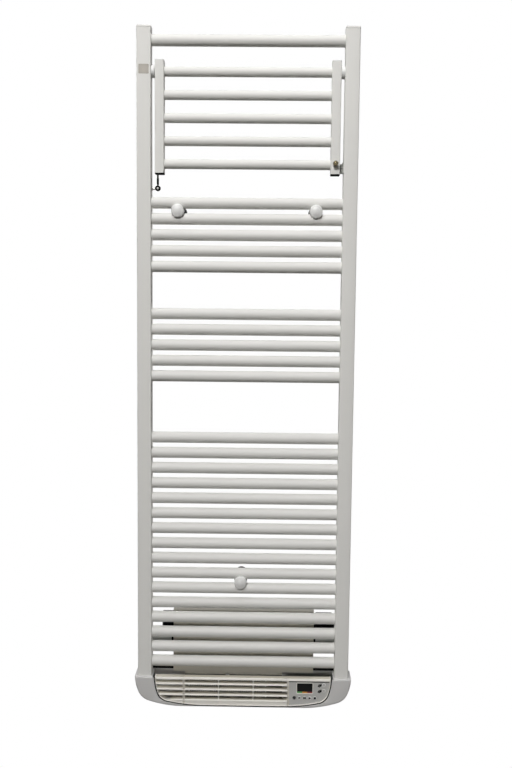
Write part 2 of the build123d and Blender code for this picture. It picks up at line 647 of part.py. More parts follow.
latch_arm.part.label = "latch_arm"
export_step(latch_arm.part, "parts/latch_arm.step")

with BuildPart() as rack_screws:
    head_back = LATCH_OFF_SPAN[1] + GAP
    bar_y((head_back, head_back + LATCH_SCREW_HEAD), LATCH_X, LATCH_Z, LATCH_SCREW_HEAD_R)
    bar_y((LUG_FRONT - LATCH_LUG_DEPTH / 2, head_back), LATCH_X, LATCH_Z, LATCH_PIN_R)
    for off in CATCH_SCREW_OFFS:
        head_end = INNER_FACE_X - CATCH_SHEET
        bar_x((head_end - CATCH_SCREW_R, head_end), off, CATCH_Z, CATCH_SCREW_HEAD_R)
        bar_x((head_end, INNER_FACE_X), off, CATCH_Z, CATCH_SCREW_R)
rack_screws.part.label = "rack_screws"
export_step(rack_screws.part, "parts/rack_screws.step")


# Outlines of the casing and of its front insert, each drawn from its top right corner down.
# An end point is given by its distance in from the side and down from the top.
CASING_SIDE_END = (9.7, 43.2)
CASING_CORNER_END = (33.5, 64.2)
CASING_FLAT_START = (125.0, 78.5)
INSERT_SIDE_END = (7.5, 43.5)
INSERT_CORNER_END = (31.5, 64.5)
INSERT_FLAT_START = (124.5, 74.4)


def outline(half_width, side_end, corner_end, flat_start):
    """Closed outline with tangent arcs down both sides and a flat bottom."""
    with BuildSketch() as profile:
        with BuildLine():
            side = TangentArc((half_width, 0), (half_width - side_end[0], -side_end[1]),
                              tangent=(0, -1))
            corner = TangentArc(side @ 1, (half_width - corner_end[0], -corner_end[1]),
                                tangent=side % 1)
            belly = TangentArc(corner @ 1, (half_width - flat_start[0], -flat_start[1]),
                               tangent=corner % 1)
            Line(belly @ 1, (0, -flat_start[1]))
            mirror(about=Plane.YZ)
            Line((half_width, 0), (-half_width, 0))
        make_face()
    return profile


casing_profile = outline(CASING_HALF_WIDTH, CASING_SIDE_END, CASING_CORNER_END, CASING_FLAT_START)
insert_profile = outline(INSERT_HALF_WIDTH, INSERT_SIDE_END, INSERT_CORNER_END, INSERT_FLAT_START)


def front_plane(off):
    """Plane square to the room at a distance off the wall, with its origin on the casing's top."""
    return Plane(origin=(0, -off, CASING_TOP_Z), x_dir=(1, 0, 0), z_dir=(0, -1, 0))


# Casing shell, open at the front and along the top between the uprights
CASING_HEIGHT = CASING_FLAT_START[1]
CASING_BOTTOM_Z = CASING_TOP_Z - CASING_HEIGHT

with BuildPart() as casing_shell:
    with BuildSketch(front_plane(CASING_BACK_OFF)):
        add(casing_profile.sketch)
    extrude(amount=CASING_FRONT_OFF - CASING_BACK_OFF)
    fillet(casing_shell.edges().group_by(Axis.Y)[0], CASING_EDGE_R)
    with BuildSketch(front_plane(CASING_BACK_OFF + CASING_WALL)):
        offset(casing_profile.sketch, amount=-CASING_WALL)
    extrude(amount=CASING_FRONT_OFF - CASING_BACK_OFF - 2 * CASING_WALL, mode=Mode.SUBTRACT)
    with BuildSketch(front_plane(INSERT_BACK)):
        offset(insert_profile.sketch, amount=GAP)
    extrude(amount=INSERT_DEPTH + 1, mode=Mode.SUBTRACT)
    block((-SOCKET_INNER_X, SOCKET_INNER_X), (CASING_BACK_OFF + CASING_WALL, CASING_FRONT_OFF + 1),
          (CASING_TOP_Z - CASING_WALL - 1, CASING_TOP_Z + 1), Mode.SUBTRACT)
    for side in (-1, 1):
        bar_y((CASING_BACK_OFF, UPRIGHT_BACK), side * UPRIGHT_X, PILLAR_Z, PILLAR_R)
        bar_y((CASING_BACK_OFF, UPRIGHT_BACK), side * UPRIGHT_X, PILLAR_Z, SCREW_R + SEAT,
              Mode.SUBTRACT)
    with BuildSketch(Plane.XY.offset(UPRIGHT_BOTTOM_Z)):
        with Locations((-UPRIGHT_X, -LADDER_OFF), (UPRIGHT_X, -LADDER_OFF)):
            RectangleRounded(UPRIGHT_WIDTH + 2 * SEAT, UPRIGHT_DEPTH + 2 * SEAT, UPRIGHT_CORNER_R)
    extrude(amount=SOCKET_DEPTH + 1, mode=Mode.SUBTRACT)
    bar_y((CASING_BACK_OFF, CASING_BACK_OFF + CASING_WALL), GLAND_X,
          CASING_TOP_Z - CASING_HEIGHT / 2, GLAND_BORE_R + CASING_WALL, Mode.SUBTRACT)
casing_shell.part.label = "casing_shell"
export_step(casing_shell.part, "parts/casing_shell.step")


# Front insert in three sections
def section_opening(x_left, x_right):
    """Opening of a section: inside the rim, below the visor and between its end ribs."""
    with BuildSketch() as opening:
        offset(insert_profile.sketch, amount=-INSERT_RIM)
        with Locations(((x_left + x_right) / 2, -VISOR_HEIGHT - CASING_HEIGHT / 2)):
            Rectangle(x_right - x_left - 2 * GRILLE_RIB, CASING_HEIGHT, mode=Mode.INTERSECT)
    return opening


def section_frame(x_left, x_right):
    """Frame of a section: the visor, the rim and a rib at each end."""
    opening = section_opening(x_left, x_right)
    with BuildPart() as frame:
        with BuildSketch(front_plane(INSERT_BACK)):
            add(insert_profile.sketch)
            with Locations(((x_left + x_right) / 2, -CASING_HEIGHT / 2)):
                Rectangle(x_right - x_left - SEAT, 2 * CASING_HEIGHT, mode=Mode.INTERSECT)
        extrude(amount=INSERT_DEPTH)
        with BuildSketch(front_plane(INSERT_BACK)):
            add(opening.sketch)
        extrude(amount=INSERT_DEPTH, mode=Mode.SUBTRACT)
    return frame


def grille(x_left, x_right, rib_count):
    """Louvred section between two x, with evenly spaced thin ribs inside it."""
    width = x_right - x_left
    nose_y = -CASING_FRONT_OFF + GAP
    opening = section_opening(x_left, x_right)
    frame = section_frame(x_left, x_right)
    with BuildPart() as section:
        with BuildSketch(Plane.YZ.offset(x_left)):
            for i in range(BLADES):
                nose_z = CASING_TOP_Z - BLADE_BELOW_TOP - i * BLADE_PITCH
                with BuildLine():
                    Polyline(
                        (nose_y, nose_z),
                        (nose_y, nose_z - BLADE_NOSE),
                        (nose_y + BLADE_NOSE_DEPTH, nose_z - BLADE_NOSE),
                        (nose_y + BLADE_NOSE_DEPTH, nose_z - BLADE_THICKNESS),
                        (nose_y + BLADE_DEPTH, nose_z - BLADE_THICKNESS + 1),
                        (nose_y + BLADE_DEPTH, nose_z + 1),
                        close=True,
                    )
                make_face()
        extrude(amount=width)
        for i in range(rib_count):
            x = x_left + (i + 1) * width / (rib_count + 1)
            block((x - GRILLE_RIB / 2, x + GRILLE_RIB / 2),
                  (CASING_FRONT_OFF - BLADE_DEPTH, CASING_FRONT_OFF - 2 * GAP),
                  (CASING_BOTTOM_Z, CASING_TOP_Z))
        with BuildSketch(front_plane(INSERT_BACK)):
            add(opening.sketch)
        extrude(amount=INSERT_DEPTH, mode=Mode.INTERSECT)
        add(frame.part)
    return section


grille_left = grille(-INSERT_HALF_WIDTH, GRILLE_SPLIT_X, 0)
grille_left.part.label = "grille_left"
export_step(grille_left.part, "parts/grille_left.step")

grille_main = grille(GRILLE_SPLIT_X, FASCIA_SPLIT_X, 2)
grille_main.part.label = "grille_main"
export_step(grille_main.part, "parts/grille_main.step")

# Control fascia with a recessed panel under the visor
DISPLAY_Z = CASING_TOP_Z - DISPLAY_BELOW_TOP
STRIP_Z_SPAN = (DISPLAY_Z - DISPLAY_HEIGHT / 2, DISPLAY_Z - DISPLAY_HEIGHT / 2 + STRIP_HEIGHT)
DISPLAY_X_SPAN = (DISPLAY_X - DISPLAY_WIDTH / 2, DISPLAY_X + DISPLAY_WIDTH / 2)
DISPLAY_Z_SPAN = (DISPLAY_Z - DISPLAY_HEIGHT / 2, DISPLAY_Z + DISPLAY_HEIGHT / 2)
WINDOW_SPAN = (PANEL_FRONT - WINDOW_THICKNESS, PANEL_FRONT)
FASCIA_MID_X = FASCIA_SPLIT_X + FASCIA_WIDTH / 2
BUTTONS = {
    name: (BUTTON_ROW_X + i * BUTTON_ROW_PITCH, CASING_TOP_Z - BUTTON_ROW_BELOW_TOP)
    for i, name in enumerate(("standby", "mode", "program", "minus", "plus"))
}
BUTTONS["fan"] = (SIDE_BUTTON_X, CASING_TOP_Z - SIDE_BUTTONS_BELOW_TOP[0])
BUTTONS["boost"] = (SIDE_BUTTON_X, CASING_TOP_Z - SIDE_BUTTONS_BELOW_TOP[1])

fascia_frame = section_frame(FASCIA_SPLIT_X, INSERT_HALF_WIDTH)

with BuildPart() as control_fascia:
    add(fascia_frame.part)
    with BuildSketch(front_plane(PANEL_BACK)):
        add(insert_profile.sketch)
        with Locations((FASCIA_MID_X, -CASING_HEIGHT / 2 - SEAT)):
            Rectangle(FASCIA_WIDTH - 2 * SEAT, CASING_HEIGHT, mode=Mode.INTERSECT)
    extrude(amount=PANEL_THICKNESS)
    block((DISPLAY_X_SPAN[0] - BEZEL, DISPLAY_X_SPAN[1] + BEZEL),
          (PANEL_FRONT, PANEL_FRONT + BEZEL_PROUD),
          (DISPLAY_Z_SPAN[0] - BEZEL, DISPLAY_Z_SPAN[1] + BEZEL))
    block((DISPLAY_X_SPAN[0] + LEDGE, DISPLAY_X_SPAN[1] - LEDGE), (PANEL_BACK, CASING_FRONT_OFF),
          (DISPLAY_Z_SPAN[0] + LEDGE, DISPLAY_Z_SPAN[1] - LEDGE), Mode.SUBTRACT)
    block(DISPLAY_X_SPAN, (WINDOW_SPAN[0], CASING_FRONT_OFF), DISPLAY_Z_SPAN, Mode.SUBTRACT)
    for x, z in BUTTONS.values():
        bar_y((PANEL_BACK, PANEL_FRONT), x, z, BUTTON_R + GAP, Mode.SUBTRACT)
control_fascia.part.label = "control_fascia"
export_step(control_fascia.part, "parts/control_fascia.step")

with BuildPart() as display_window:
    block(DISPLAY_X_SPAN, WINDOW_SPAN, (STRIP_Z_SPAN[1], DISPLAY_Z_SPAN[1]))
display_window.part.label = "display_window"
export_step(display_window.part, "parts/display_window.step")

with BuildPart() as status_strip:
    block(DISPLAY_X_SPAN, WINDOW_SPAN, STRIP_Z_SPAN)
status_strip.part.label = "status_strip"
export_step(status_strip.part, "parts/status_strip.step")

with BuildPart() as display_module:
    block((DISPLAY_X_SPAN[0] + LEDGE + SEAT, DISPLAY_X_SPAN[1] - LEDGE - SEAT),
          (WINDOW_SPAN[0] - MODULE_DEPTH, WINDOW_SPAN[0]),
          (DISPLAY_Z_SPAN[0] + LEDGE + SEAT, DISPLAY_Z_SPAN[1] - LEDGE - SEAT))
display_module.part.label = "display_module"
export_step(display_module.part, "parts/display_module.step")

# Push buttons, each with a flange behind the panel
MAT_FRONT = PANEL_BACK - GAP - BUTTON_FLANGE - BUTTON_STEM - BUTTON_TRAVEL - GAP

for name, (x, z) in BUTTONS.items():
    with BuildPart() as button:
        flange = (PANEL_BACK - GAP - BUTTON_FLANGE, PANEL_BACK - GAP)
        bar_y((flange[0], PANEL_FRONT + BUTTON_PROUD), x, z, BUTTON_R)
        fillet(button.edges().group_by(Axis.Y)[0], BUTTON_PROUD / 2)
        bar_y(flange, x, z, BUTTON_FLANGE_R)
        bar_y((flange[0] - BUTTON_STEM, flange[0]), x, z, BUTTON_R / 2)
    button.part.label = f"{name}_button"
    export_step(button.part, f"parts/{name}_button.step")

BOARD_FRONT = MAT_FRONT - MAT_THICKNESS
BOARD_X_SPAN = (FASCIA_SPLIT_X + 2 * GRILLE_RIB, BUTTONS["plus"][0] + BUTTON_FLANGE_R)
BOARD_Z_SPAN = (
    CASING_TOP_Z - BUTTON_ROW_BELOW_TOP - BUTTON_FLANGE_R,
    CASING_TOP_Z - VISOR_HEIGHT - 2 * GAP,
)

with BuildPart() as button_mat:
    for x, z in BUTTONS.values():
        bar_y((BOARD_FRONT, MAT_FRONT), x, z, BUTTON_FLANGE_R)
button_mat.part.label = "button_mat"
export_step(button_mat.part, "parts/button_mat.step")

with BuildPart() as control_board:
    board_off = (BOARD_FRONT - BOARD_THICKNESS, BOARD_FRONT)
    block(BOARD_X_SPAN, board_off, BOARD_Z_SPAN)
    block((BOARD_X_SPAN[1], SIDE_BUTTON_X + BUTTON_FLANGE_R), board_off,
          (BUTTONS["boost"][1] - BUTTON_FLANGE_R, BOARD_Z_SPAN[1]))
    for x in (DISPLAY_X_SPAN[0] + 2 * LEDGE, DISPLAY_X_SPAN[1] - 2 * LEDGE):
        bar_y((BOARD_FRONT, WINDOW_SPAN[0] - MODULE_DEPTH), x, DISPLAY_Z, LEDGE)
    for z in (BOARD_Z_SPAN[1] - LEDGE, DISPLAY_Z_SPAN[0] - 2 * LEDGE):
        bar_y((BOARD_FRONT, PANEL_BACK), DISPLAY_X, z, LEDGE)
control_board.part.label = "control_board"
export_step(control_board.part, "parts/control_board.step")

# Blower housing behind the lower rungs, with a throat down into the casing
HOUSING_X = (-HOUSING_HALF_WIDTH, HOUSING_HALF_WIDTH)
HOUSING_INSIDE_X = (HOUSING_X[0] + HOUSING_WALL, HOUSING_X[1] - HOUSING_WALL)
FILTER_SPAN = (HOUSING_BACK_OFF + GAP, HOUSING_BACK_OFF + GAP + FILTER_THICKNESS)
FILTER_TOP_Z = HOUSING_TOP_Z
FILTER_BOTTOM_Z = FILTER_TOP_Z - FILTER_HEIGHT
SHAFT_X = (FAN_X - FAN_LENGTH / 2 - BEARING_LENGTH - GAP, FAN_X + FAN_LENGTH / 2 + BEARING_LENGTH)
COVER_SCREWS = [
    (x, z)
    for x in (HOUSING_X[0] + 2 * PILLAR_R, HOUSING_X[1] - 2 * PILLAR_R)
    for z in (HOUSING_TOP_Z - 2 * PILLAR_R, HOUSING_BOTTOM_Z + 2 * PILLAR_R)
]

with BuildPart() as blower_housing:
    block(HOUSING_X, (HOUSING_BACK_OFF, HOUSING_FRONT_OFF), (HOUSING_BOTTOM_Z, HOUSING_TOP_Z))
    block(HOUSING_INSIDE_X, (HOUSING_BACK_OFF, HOUSING_FRONT_OFF - HOUSING_WALL),
          (HOUSING_BOTTOM_Z + HOUSING_WALL, HOUSING_TOP_Z - HOUSING_WALL), Mode.SUBTRACT)
    throat_x = (GRILLE_SPLIT_X, FASCIA_SPLIT_X - THROAT_SHORT_OF_FASCIA)
    throat_off = (DUCT_BACK, HOUSING_FRONT_OFF)
    throat_z = (DUCT_TOP_Z, HOUSING_BOTTOM_Z)
    block(throat_x, throat_off, throat_z)
    block((throat_x[0] + HOUSING_WALL, throat_x[1] - HOUSING_WALL),
          (throat_off[0] + HOUSING_WALL, throat_off[1] - HOUSING_WALL),
          (throat_z[0], throat_z[1] + HOUSING_WALL), Mode.SUBTRACT)
    block((-FILTER_HALF_WIDTH - GAP, FILTER_HALF_WIDTH + GAP),
          (HOUSING_BACK_OFF, FILTER_SPAN[1] + GAP),
          (HOUSING_TOP_Z - HOUSING_WALL, HOUSING_TOP_Z), Mode.SUBTRACT)
    for side in (-1, 1):
        runner_x = side_span(side, FILTER_HALF_WIDTH - RUNNER_LAP, FILTER_HALF_WIDTH + RUNNER)
        block(runner_x, (FILTER_SPAN[1] + GAP, FILTER_SPAN[1] + GAP + RUNNER),
              (FILTER_BOTTOM_Z - GAP - RUNNER, HOUSING_TOP_Z - HOUSING_WALL))
        block(runner_x, (FILTER_SPAN[0], FILTER_SPAN[1] + GAP + RUNNER),
              (FILTER_BOTTOM_Z - GAP - RUNNER, FILTER_BOTTOM_Z - GAP))
    for x, z in COVER_SCREWS:
        bar_y((HOUSING_BACK_OFF, HOUSING_FRONT_OFF - HOUSING_WALL), x, z, PILLAR_R)
        bar_y((HOUSING_BACK_OFF, HOUSING_BACK_OFF + SCREW_LENGTH), x, z, SCREW_R + FIT,
              Mode.SUBTRACT)
    for x_span in ((SHAFT_X[0], SHAFT_X[0] + BEARING_LENGTH),):
        block(x_span, (FAN_OFF + BEARING_R - 1, HOUSING_FRONT_OFF - HOUSING_WALL),
              (FAN_Z - BEARING_R, FAN_Z + BEARING_R))
        bar_x(x_span, FAN_OFF, FAN_Z, BEARING_R + FIT, Mode.SUBTRACT)
    block((SHAFT_X[1] + GAP, SHAFT_X[1] + GAP + MOTOR_LENGTH / 2),
          (FAN_OFF, HOUSING_FRONT_OFF - HOUSING_WALL), (FAN_Z - MOTOR_R, FAN_Z + MOTOR_R))
    bar_x((SHAFT_X[1], SHAFT_X[1] + MOTOR_LENGTH), FAN_OFF, FAN_Z, MOTOR_R + SEAT, Mode.SUBTRACT)
blower_housing.part.label = "blower_housing"
export_step(blower_housing.part, "parts/blower_housing.step")

with BuildPart() as rear_cover:
    cover_off = (HOUSING_BACK_OFF - COVER_THICKNESS, HOUSING_BACK_OFF)
    block(HOUSING_X, cover_off, (HOUSING_BOTTOM_Z, HOUSING_TOP_Z))
    with BuildSketch(Plane.XZ.offset(cover_off[0])):
        for x in (-INTAKE_LENGTH / 2 - INTAKE_PITCH, INTAKE_LENGTH / 2 + INTAKE_PITCH):
            for i in range(INTAKE_SLOTS):
                with Locations((x, FAN_Z + (i - (INTAKE_SLOTS - 1) / 2) * INTAKE_PITCH)):
                    SlotOverall(INTAKE_LENGTH, INTAKE_SLOT)
    extrude(amount=COVER_THICKNESS, mode=Mode.SUBTRACT)
    for x, z in COVER_SCREWS:
        bar_y(cover_off, x, z, SCREW_R + SEAT, Mode.SUBTRACT)
rear_cover.part.label = "rear_cover"
export_step(rear_cover.part, "parts/rear_cover.step")

# Dust filter that slides up out of the housing, between the cover and two runners
with BuildPart() as air_filter:
    block((-FILTER_HALF_WIDTH, FILTER_HALF_WIDTH), FILTER_SPAN,
          (FILTER_BOTTOM_Z, FILTER_TOP_Z))
    for i in (-1.5, -0.5, 0.5, 1.5):
        cell = (FILTER_HALF_WIDTH - FILTER_BAR) / 2 - FILTER_BAR
        x = i * (FILTER_HALF_WIDTH - FILTER_BAR / 2) / 2
        block((x - cell / 2, x + cell / 2), (FILTER_SPAN[0] + 2 * GAP, FILTER_SPAN[1]),
              (FILTER_BOTTOM_Z + FILTER_BAR, FILTER_TOP_Z - 3 * FILTER_BAR),
              Mode.SUBTRACT)
air_filter.part.label = "air_filter"
export_step(air_filter.part, "parts/air_filter.step")

# Cross-flow fan wheel on its shaft
WHEEL_X = (FAN_X - FAN_LENGTH / 2, FAN_X + FAN_LENGTH / 2)

with BuildPart() as fan_wheel:
    with BuildSketch(Plane.YZ.offset(WHEEL_X[0])):
        with Locations((-FAN_OFF, FAN_Z)):
            with PolarLocations(FAN_R - 2 * FAN_SHAFT_R / 2 - 1, FAN_BLADES):
                Rectangle(2 * FAN_SHAFT_R, FAN_BLADE, rotation=30)
    extrude(amount=FAN_LENGTH)
    for x in (WHEEL_X[0], FAN_X - FAN_DISC / 2, WHEEL_X[1] - FAN_DISC):
        bar_x((x, x + FAN_DISC), FAN_OFF, FAN_Z, FAN_R)
    bar_x((SHAFT_X[0], SHAFT_X[1] + MOTOR_LENGTH / 4), FAN_OFF, FAN_Z, FAN_SHAFT_R)
fan_wheel.part.label = "fan_wheel"
export_step(fan_wheel.part, "parts/fan_wheel.step")

with BuildPart() as fan_bearing:
    bearing_x = (SHAFT_X[0], SHAFT_X[0] + BEARING_LENGTH)
    bar_x(bearing_x, FAN_OFF, FAN_Z, BEARING_R)
    bar_x(bearing_x, FAN_OFF, FAN_Z, FAN_SHAFT_R + FIT, Mode.SUBTRACT)
fan_bearing.part.label = "fan_bearing"
export_step(fan_bearing.part, "parts/fan_bearing.step")

with BuildPart() as fan_motor:
    bar_x((SHAFT_X[1] + GAP, SHAFT_X[1] + MOTOR_LENGTH), FAN_OFF, FAN_Z, MOTOR_R)
    bar_x((SHAFT_X[1] + GAP, SHAFT_X[1] + MOTOR_LENGTH / 2), FAN_OFF, FAN_Z, FAN_SHAFT_R + FIT,
          Mode.SUBTRACT)
fan_motor.part.label = "fan_motor"
export_step(fan_motor.part, "parts/fan_motor.step")

# Power board on the front wall of the housing, below the motor
POWER_X = (HOUSING_INSIDE_X[1] - BOARD_WIDTH - 2 * PILLAR_R, HOUSING_INSIDE_X[1] - 2 * PILLAR_R)
POWER_Z = (HOUSING_BOTTOM_Z + 4 * PILLAR_R, HOUSING_BOTTOM_Z + 4 * PILLAR_R + BOARD_HEIGHT / 2)
POWER_FRONT = HOUSING_FRONT_OFF - HOUSING_WALL - 4

with BuildPart() as power_board:
    block(POWER_X, (POWER_FRONT - BOARD_THICKNESS, POWER_FRONT), POWER_Z)
    for x in (POWER_X[0] + 4, POWER_X[1] - 4):
        for z in (POWER_Z[0] + 4, POWER_Z[1] - 4):
            bar_y((POWER_FRONT, HOUSING_FRONT_OFF - HOUSING_WALL), x, z, SCREW_R)
    block((POWER_X[0] + 6, POWER_X[1] - 14), (POWER_FRONT - 16, POWER_FRONT - BOARD_THICKNESS),
          (POWER_Z[0] + 8, POWER_Z[1] - 8))
power_board.part.label = "power_board"
export_step(power_board.part, "parts/power_board.step")

# Outlet duct in the casing, from the throat to the louvres
DUCT_X = (throat_x[0], throat_x[1])
DUCT_Z = (DUCT_BOTTOM_Z, DUCT_TOP_Z)
DUCT_OFF = (DUCT_BACK, INSERT_BACK - SEAT)

with BuildPart() as outlet_duct:
    block(DUCT_X, DUCT_OFF, DUCT_Z)
    block((DUCT_X[0] + DUCT_WALL, DUCT_X[1] - DUCT_WALL), (DUCT_OFF[0] + DUCT_WALL, DUCT_OFF[1]),
          (DUCT_Z[0] + DUCT_WALL, DUCT_Z[1] - DUCT_WALL), Mode.SUBTRACT)
    block((DUCT_X[0] + DUCT_WALL, DUCT_X[1] - DUCT_WALL),
          (throat_off[0] + HOUSING_WALL, throat_off[1] - HOUSING_WALL),
          (DUCT_Z[1] - DUCT_WALL, DUCT_Z[1]), Mode.SUBTRACT)
outlet_duct.part.label = "outlet_duct"
export_step(outlet_duct.part, "parts/outlet_duct.step")

HEATER_X = (DUCT_X[0] + HEATER_FROM_LEFT, DUCT_X[1] - HEATER_FROM_RIGHT)
FIN_PITCH = (HEATER_X[1] - HEATER_X[0]) / HEATER_FINS
HEATER_OFF = (DUCT_OFF[1] - 2 - HEATER_DEPTH, DUCT_OFF[1] - 2)
HEATER_Z = (DUCT_Z[0] + DUCT_WALL, DUCT_Z[1] - DUCT_WALL)

with BuildPart() as ptc_heater:
    block(HEATER_X, HEATER_OFF, HEATER_Z)
    block((HEATER_X[0] + 3, HEATER_X[1] - 3), HEATER_OFF, (HEATER_Z[0] + 4, HEATER_Z[1] - 4),
          Mode.SUBTRACT)
    for i in range(HEATER_FINS):
        x = HEATER_X[0] + (i + 0.5) * FIN_PITCH
        block((x - 0.5, x + 0.5), HEATER_OFF, (HEATER_Z[0] + 3, HEATER_Z[1] - 3))
    block((HEATER_X[0] + 2, HEATER_X[1] - 2), HEATER_OFF,
          (mid(HEATER_Z) - 3, mid(HEATER_Z) + 3))
ptc_heater.part.label = "ptc_heater"
export_step(ptc_heater.part, "parts/ptc_heater.step")

with BuildPart() as thermal_cutout:
    bar_z((DUCT_Z[1], DUCT_Z[1] + CUTOUT_HEIGHT), mid(HEATER_X), HOUSING_FRONT_OFF + 2 * CUTOUT_R,
          CUTOUT_R)
thermal_cutout.part.label = "thermal_cutout"
export_step(thermal_cutout.part, "parts/thermal_cutout.step")

# Steel side brackets from the uprights to the sides of the housing
BRACKET_Z = row_z(SIDE_BRACKET_ROW)
BRACKET_Z_SPAN = (BRACKET_Z - SIDE_BRACKET_HEIGHT / 2, BRACKET_Z + SIDE_BRACKET_HEIGHT / 2)

with BuildPart() as side_brackets:
    for side in (-1, 1):
        block(side_span(side, HOUSING_HALF_WIDTH, INNER_FACE_X + SIDE_BRACKET_OVERLAP),
              (UPRIGHT_BACK - SIDE_BRACKET_SHEET, UPRIGHT_BACK), BRACKET_Z_SPAN)
        block(side_span(side, HOUSING_HALF_WIDTH, HOUSING_HALF_WIDTH + SIDE_BRACKET_SHEET),
              (HOUSING_BACK_OFF + HOUSING_WALL, UPRIGHT_BACK), BRACKET_Z_SPAN)
side_brackets.part.label = "side_brackets"
export_step(side_brackets.part, "parts/side_brackets.step")

# Black parts beside the housing: a hook over the rungs at the left, a junction box at the right
HOOK_Z = row_z(HOOK_ROW)
HOOK_Z_SPAN = (max(HOOK_Z - HOOK_HEIGHT / 2, BRACKET_Z_SPAN[1] + GAP), HOOK_Z + HOOK_HEIGHT / 2)
HOOK_OFF = (UPRIGHT_BACK - HOOK_DEPTH, UPRIGHT_BACK + 1)

with BuildPart() as left_tube_hook:
    block((-HOUSING_HALF_WIDTH - HOOK_WIDTH, -HOUSING_HALF_WIDTH), HOOK_OFF, HOOK_Z_SPAN)
    cut_rungs(HOOK_Z, SEAT)
left_tube_hook.part.label = "left_tube_hook"
export_step(left_tube_hook.part, "parts/left_tube_hook.step")

with BuildPart() as junction_box:
    block((HOUSING_HALF_WIDTH, INNER_FACE_X - GAP), (HOOK_OFF[0], UPRIGHT_BACK), HOOK_Z_SPAN)
    fillet(junction_box.edges().filter_by(Axis.Y).group_by(Axis.Z)[-1], HOOK_HEIGHT / 5)
    cut_rungs(HOOK_Z, SEAT)
junction_box.part.label = "junction_box"
export_step(junction_box.part, "parts/junction_box.step")

# Cable gland in the back of the casing
GLAND_Z = CASING_TOP_Z - CASING_HEIGHT / 2
with BuildPart() as cable_gland:
    bar_y((CASING_BACK_OFF - GLAND_LENGTH + CASING_WALL, CASING_BACK_OFF), GLAND_X, GLAND_Z,
          GLAND_R)
    bar_y((CASING_BACK_OFF, CASING_BACK_OFF + CASING_WALL), GLAND_X, GLAND_Z,
          GLAND_BORE_R + CASING_WALL - FIT)
    bar_y((CASING_BACK_OFF + CASING_WALL, CASING_BACK_OFF + 2 * CASING_WALL), GLAND_X, GLAND_Z,
          GLAND_R)
    bar_y((CASING_BACK_OFF - GLAND_LENGTH, CASING_BACK_OFF + 3 * CASING_WALL), GLAND_X, GLAND_Z,
          GLAND_BORE_R, Mode.SUBTRACT)
cable_gland.part.label = "cable_gland"
export_step(cable_gland.part, "parts/cable_gland.step")

# Screws of the rear cover and of the casing
with BuildPart() as casing_screws:
    for x, z in COVER_SCREWS:
        head = (HOUSING_BACK_OFF - COVER_THICKNESS - SCREW_HEAD, HOUSING_BACK_OFF - COVER_THICKNESS)
        bar_y(head, x, z, SCREW_HEAD_R)
        bar_y((head[1], head[1] + SCREW_LENGTH), x, z, SCREW_R)
    for side in (-1, 1):
        bar_y((CASING_BACK_OFF - SCREW_HEAD, CASING_BACK_OFF), side * UPRIGHT_X, PILLAR_Z,
              SCREW_HEAD_R)
        bar_y((CASING_BACK_OFF, UPRIGHT_BACK + UPRIGHT_WALL + SCREW_R), side * UPRIGHT_X, PILLAR_Z,
              SCREW_R)
casing_screws.part.label = "casing_screws"
export_step(casing_screws.part, "parts/casing_screws.step")
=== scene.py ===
"""Heated towel rail with a fold-out drying rack and a fan blower.

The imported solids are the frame. The pieces that show are built again here, in the
same coordinates, with rounded edges, weld flares and finishes. Sizes are in
millimetres: x is to the right, off is the distance from the wall, z is up.
"""

from __future__ import annotations

import logging
import math
from collections.abc import Callable, Iterable, Sequence
from dataclasses import dataclass, field
from enum import Enum

import bmesh
import bpy
from mathutils import Matrix, Vector


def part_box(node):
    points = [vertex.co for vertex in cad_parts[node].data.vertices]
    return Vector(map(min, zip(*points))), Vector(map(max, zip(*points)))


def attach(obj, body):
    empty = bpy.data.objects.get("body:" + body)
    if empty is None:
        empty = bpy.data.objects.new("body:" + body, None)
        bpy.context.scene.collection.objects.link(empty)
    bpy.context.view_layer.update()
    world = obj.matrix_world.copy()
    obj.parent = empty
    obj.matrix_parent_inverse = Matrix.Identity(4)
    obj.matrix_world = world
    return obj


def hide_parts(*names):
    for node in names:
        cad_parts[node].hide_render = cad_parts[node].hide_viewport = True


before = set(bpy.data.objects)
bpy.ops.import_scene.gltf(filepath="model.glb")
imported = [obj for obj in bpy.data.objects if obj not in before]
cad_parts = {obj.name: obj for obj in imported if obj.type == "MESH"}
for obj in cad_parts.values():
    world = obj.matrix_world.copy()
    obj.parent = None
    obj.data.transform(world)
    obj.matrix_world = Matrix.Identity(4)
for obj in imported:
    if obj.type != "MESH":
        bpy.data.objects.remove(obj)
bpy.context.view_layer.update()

log = logging.getLogger("towel_rail")

MM = 0.001
HAIR = 0.02  # keeps two faces from lying in one plane
Point = tuple[float, float, float]
Span = tuple[float, float]
Colour = tuple[float, float, float]
WHITE_LIGHT: Colour = (1.0, 1.0, 1.0)


def place(x: float, off: float, z: float) -> Vector:
    """Turn millimetres from the wall into a point of the frame, in metres."""
    return Vector((x, -off, z)) * MM


def middle(span: Span) -> float:
    """Return the middle of a span."""
    return (span[0] + span[1]) / 2


def length(span: Span) -> float:
    """Return the length of a span."""
    return span[1] - span[0]


def around(centre: float, half: float) -> Span:
    """Return the span that reaches equally far to both sides of a centre."""
    return centre - half, centre + half


def shifted(span: Span, distance: float) -> Span:
    """Return the span moved by a distance."""
    return span[0] + distance, span[1] + distance


def toned(colour: Colour, factor: float) -> Colour:
    """Return a darker or lighter tone of a colour."""
    return tuple(part * factor for part in colour)


def node_spans(node: str) -> tuple[Span, Span, Span]:
    """Read where a solid lies.

    Args:
        node: name of the solid.

    Returns:
        Its spans in x, off and z, in millimetres.
    """
    low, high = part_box(node)
    return (
        (low.x / MM, high.x / MM),
        (-high.y / MM, -low.y / MM),
        (low.z / MM, high.z / MM),
    )


class Along(Enum):
    """Direction that a turned piece points in."""

    RIGHT = "right"
    ROOM = "room"
    UP = "up"


# Shader maths


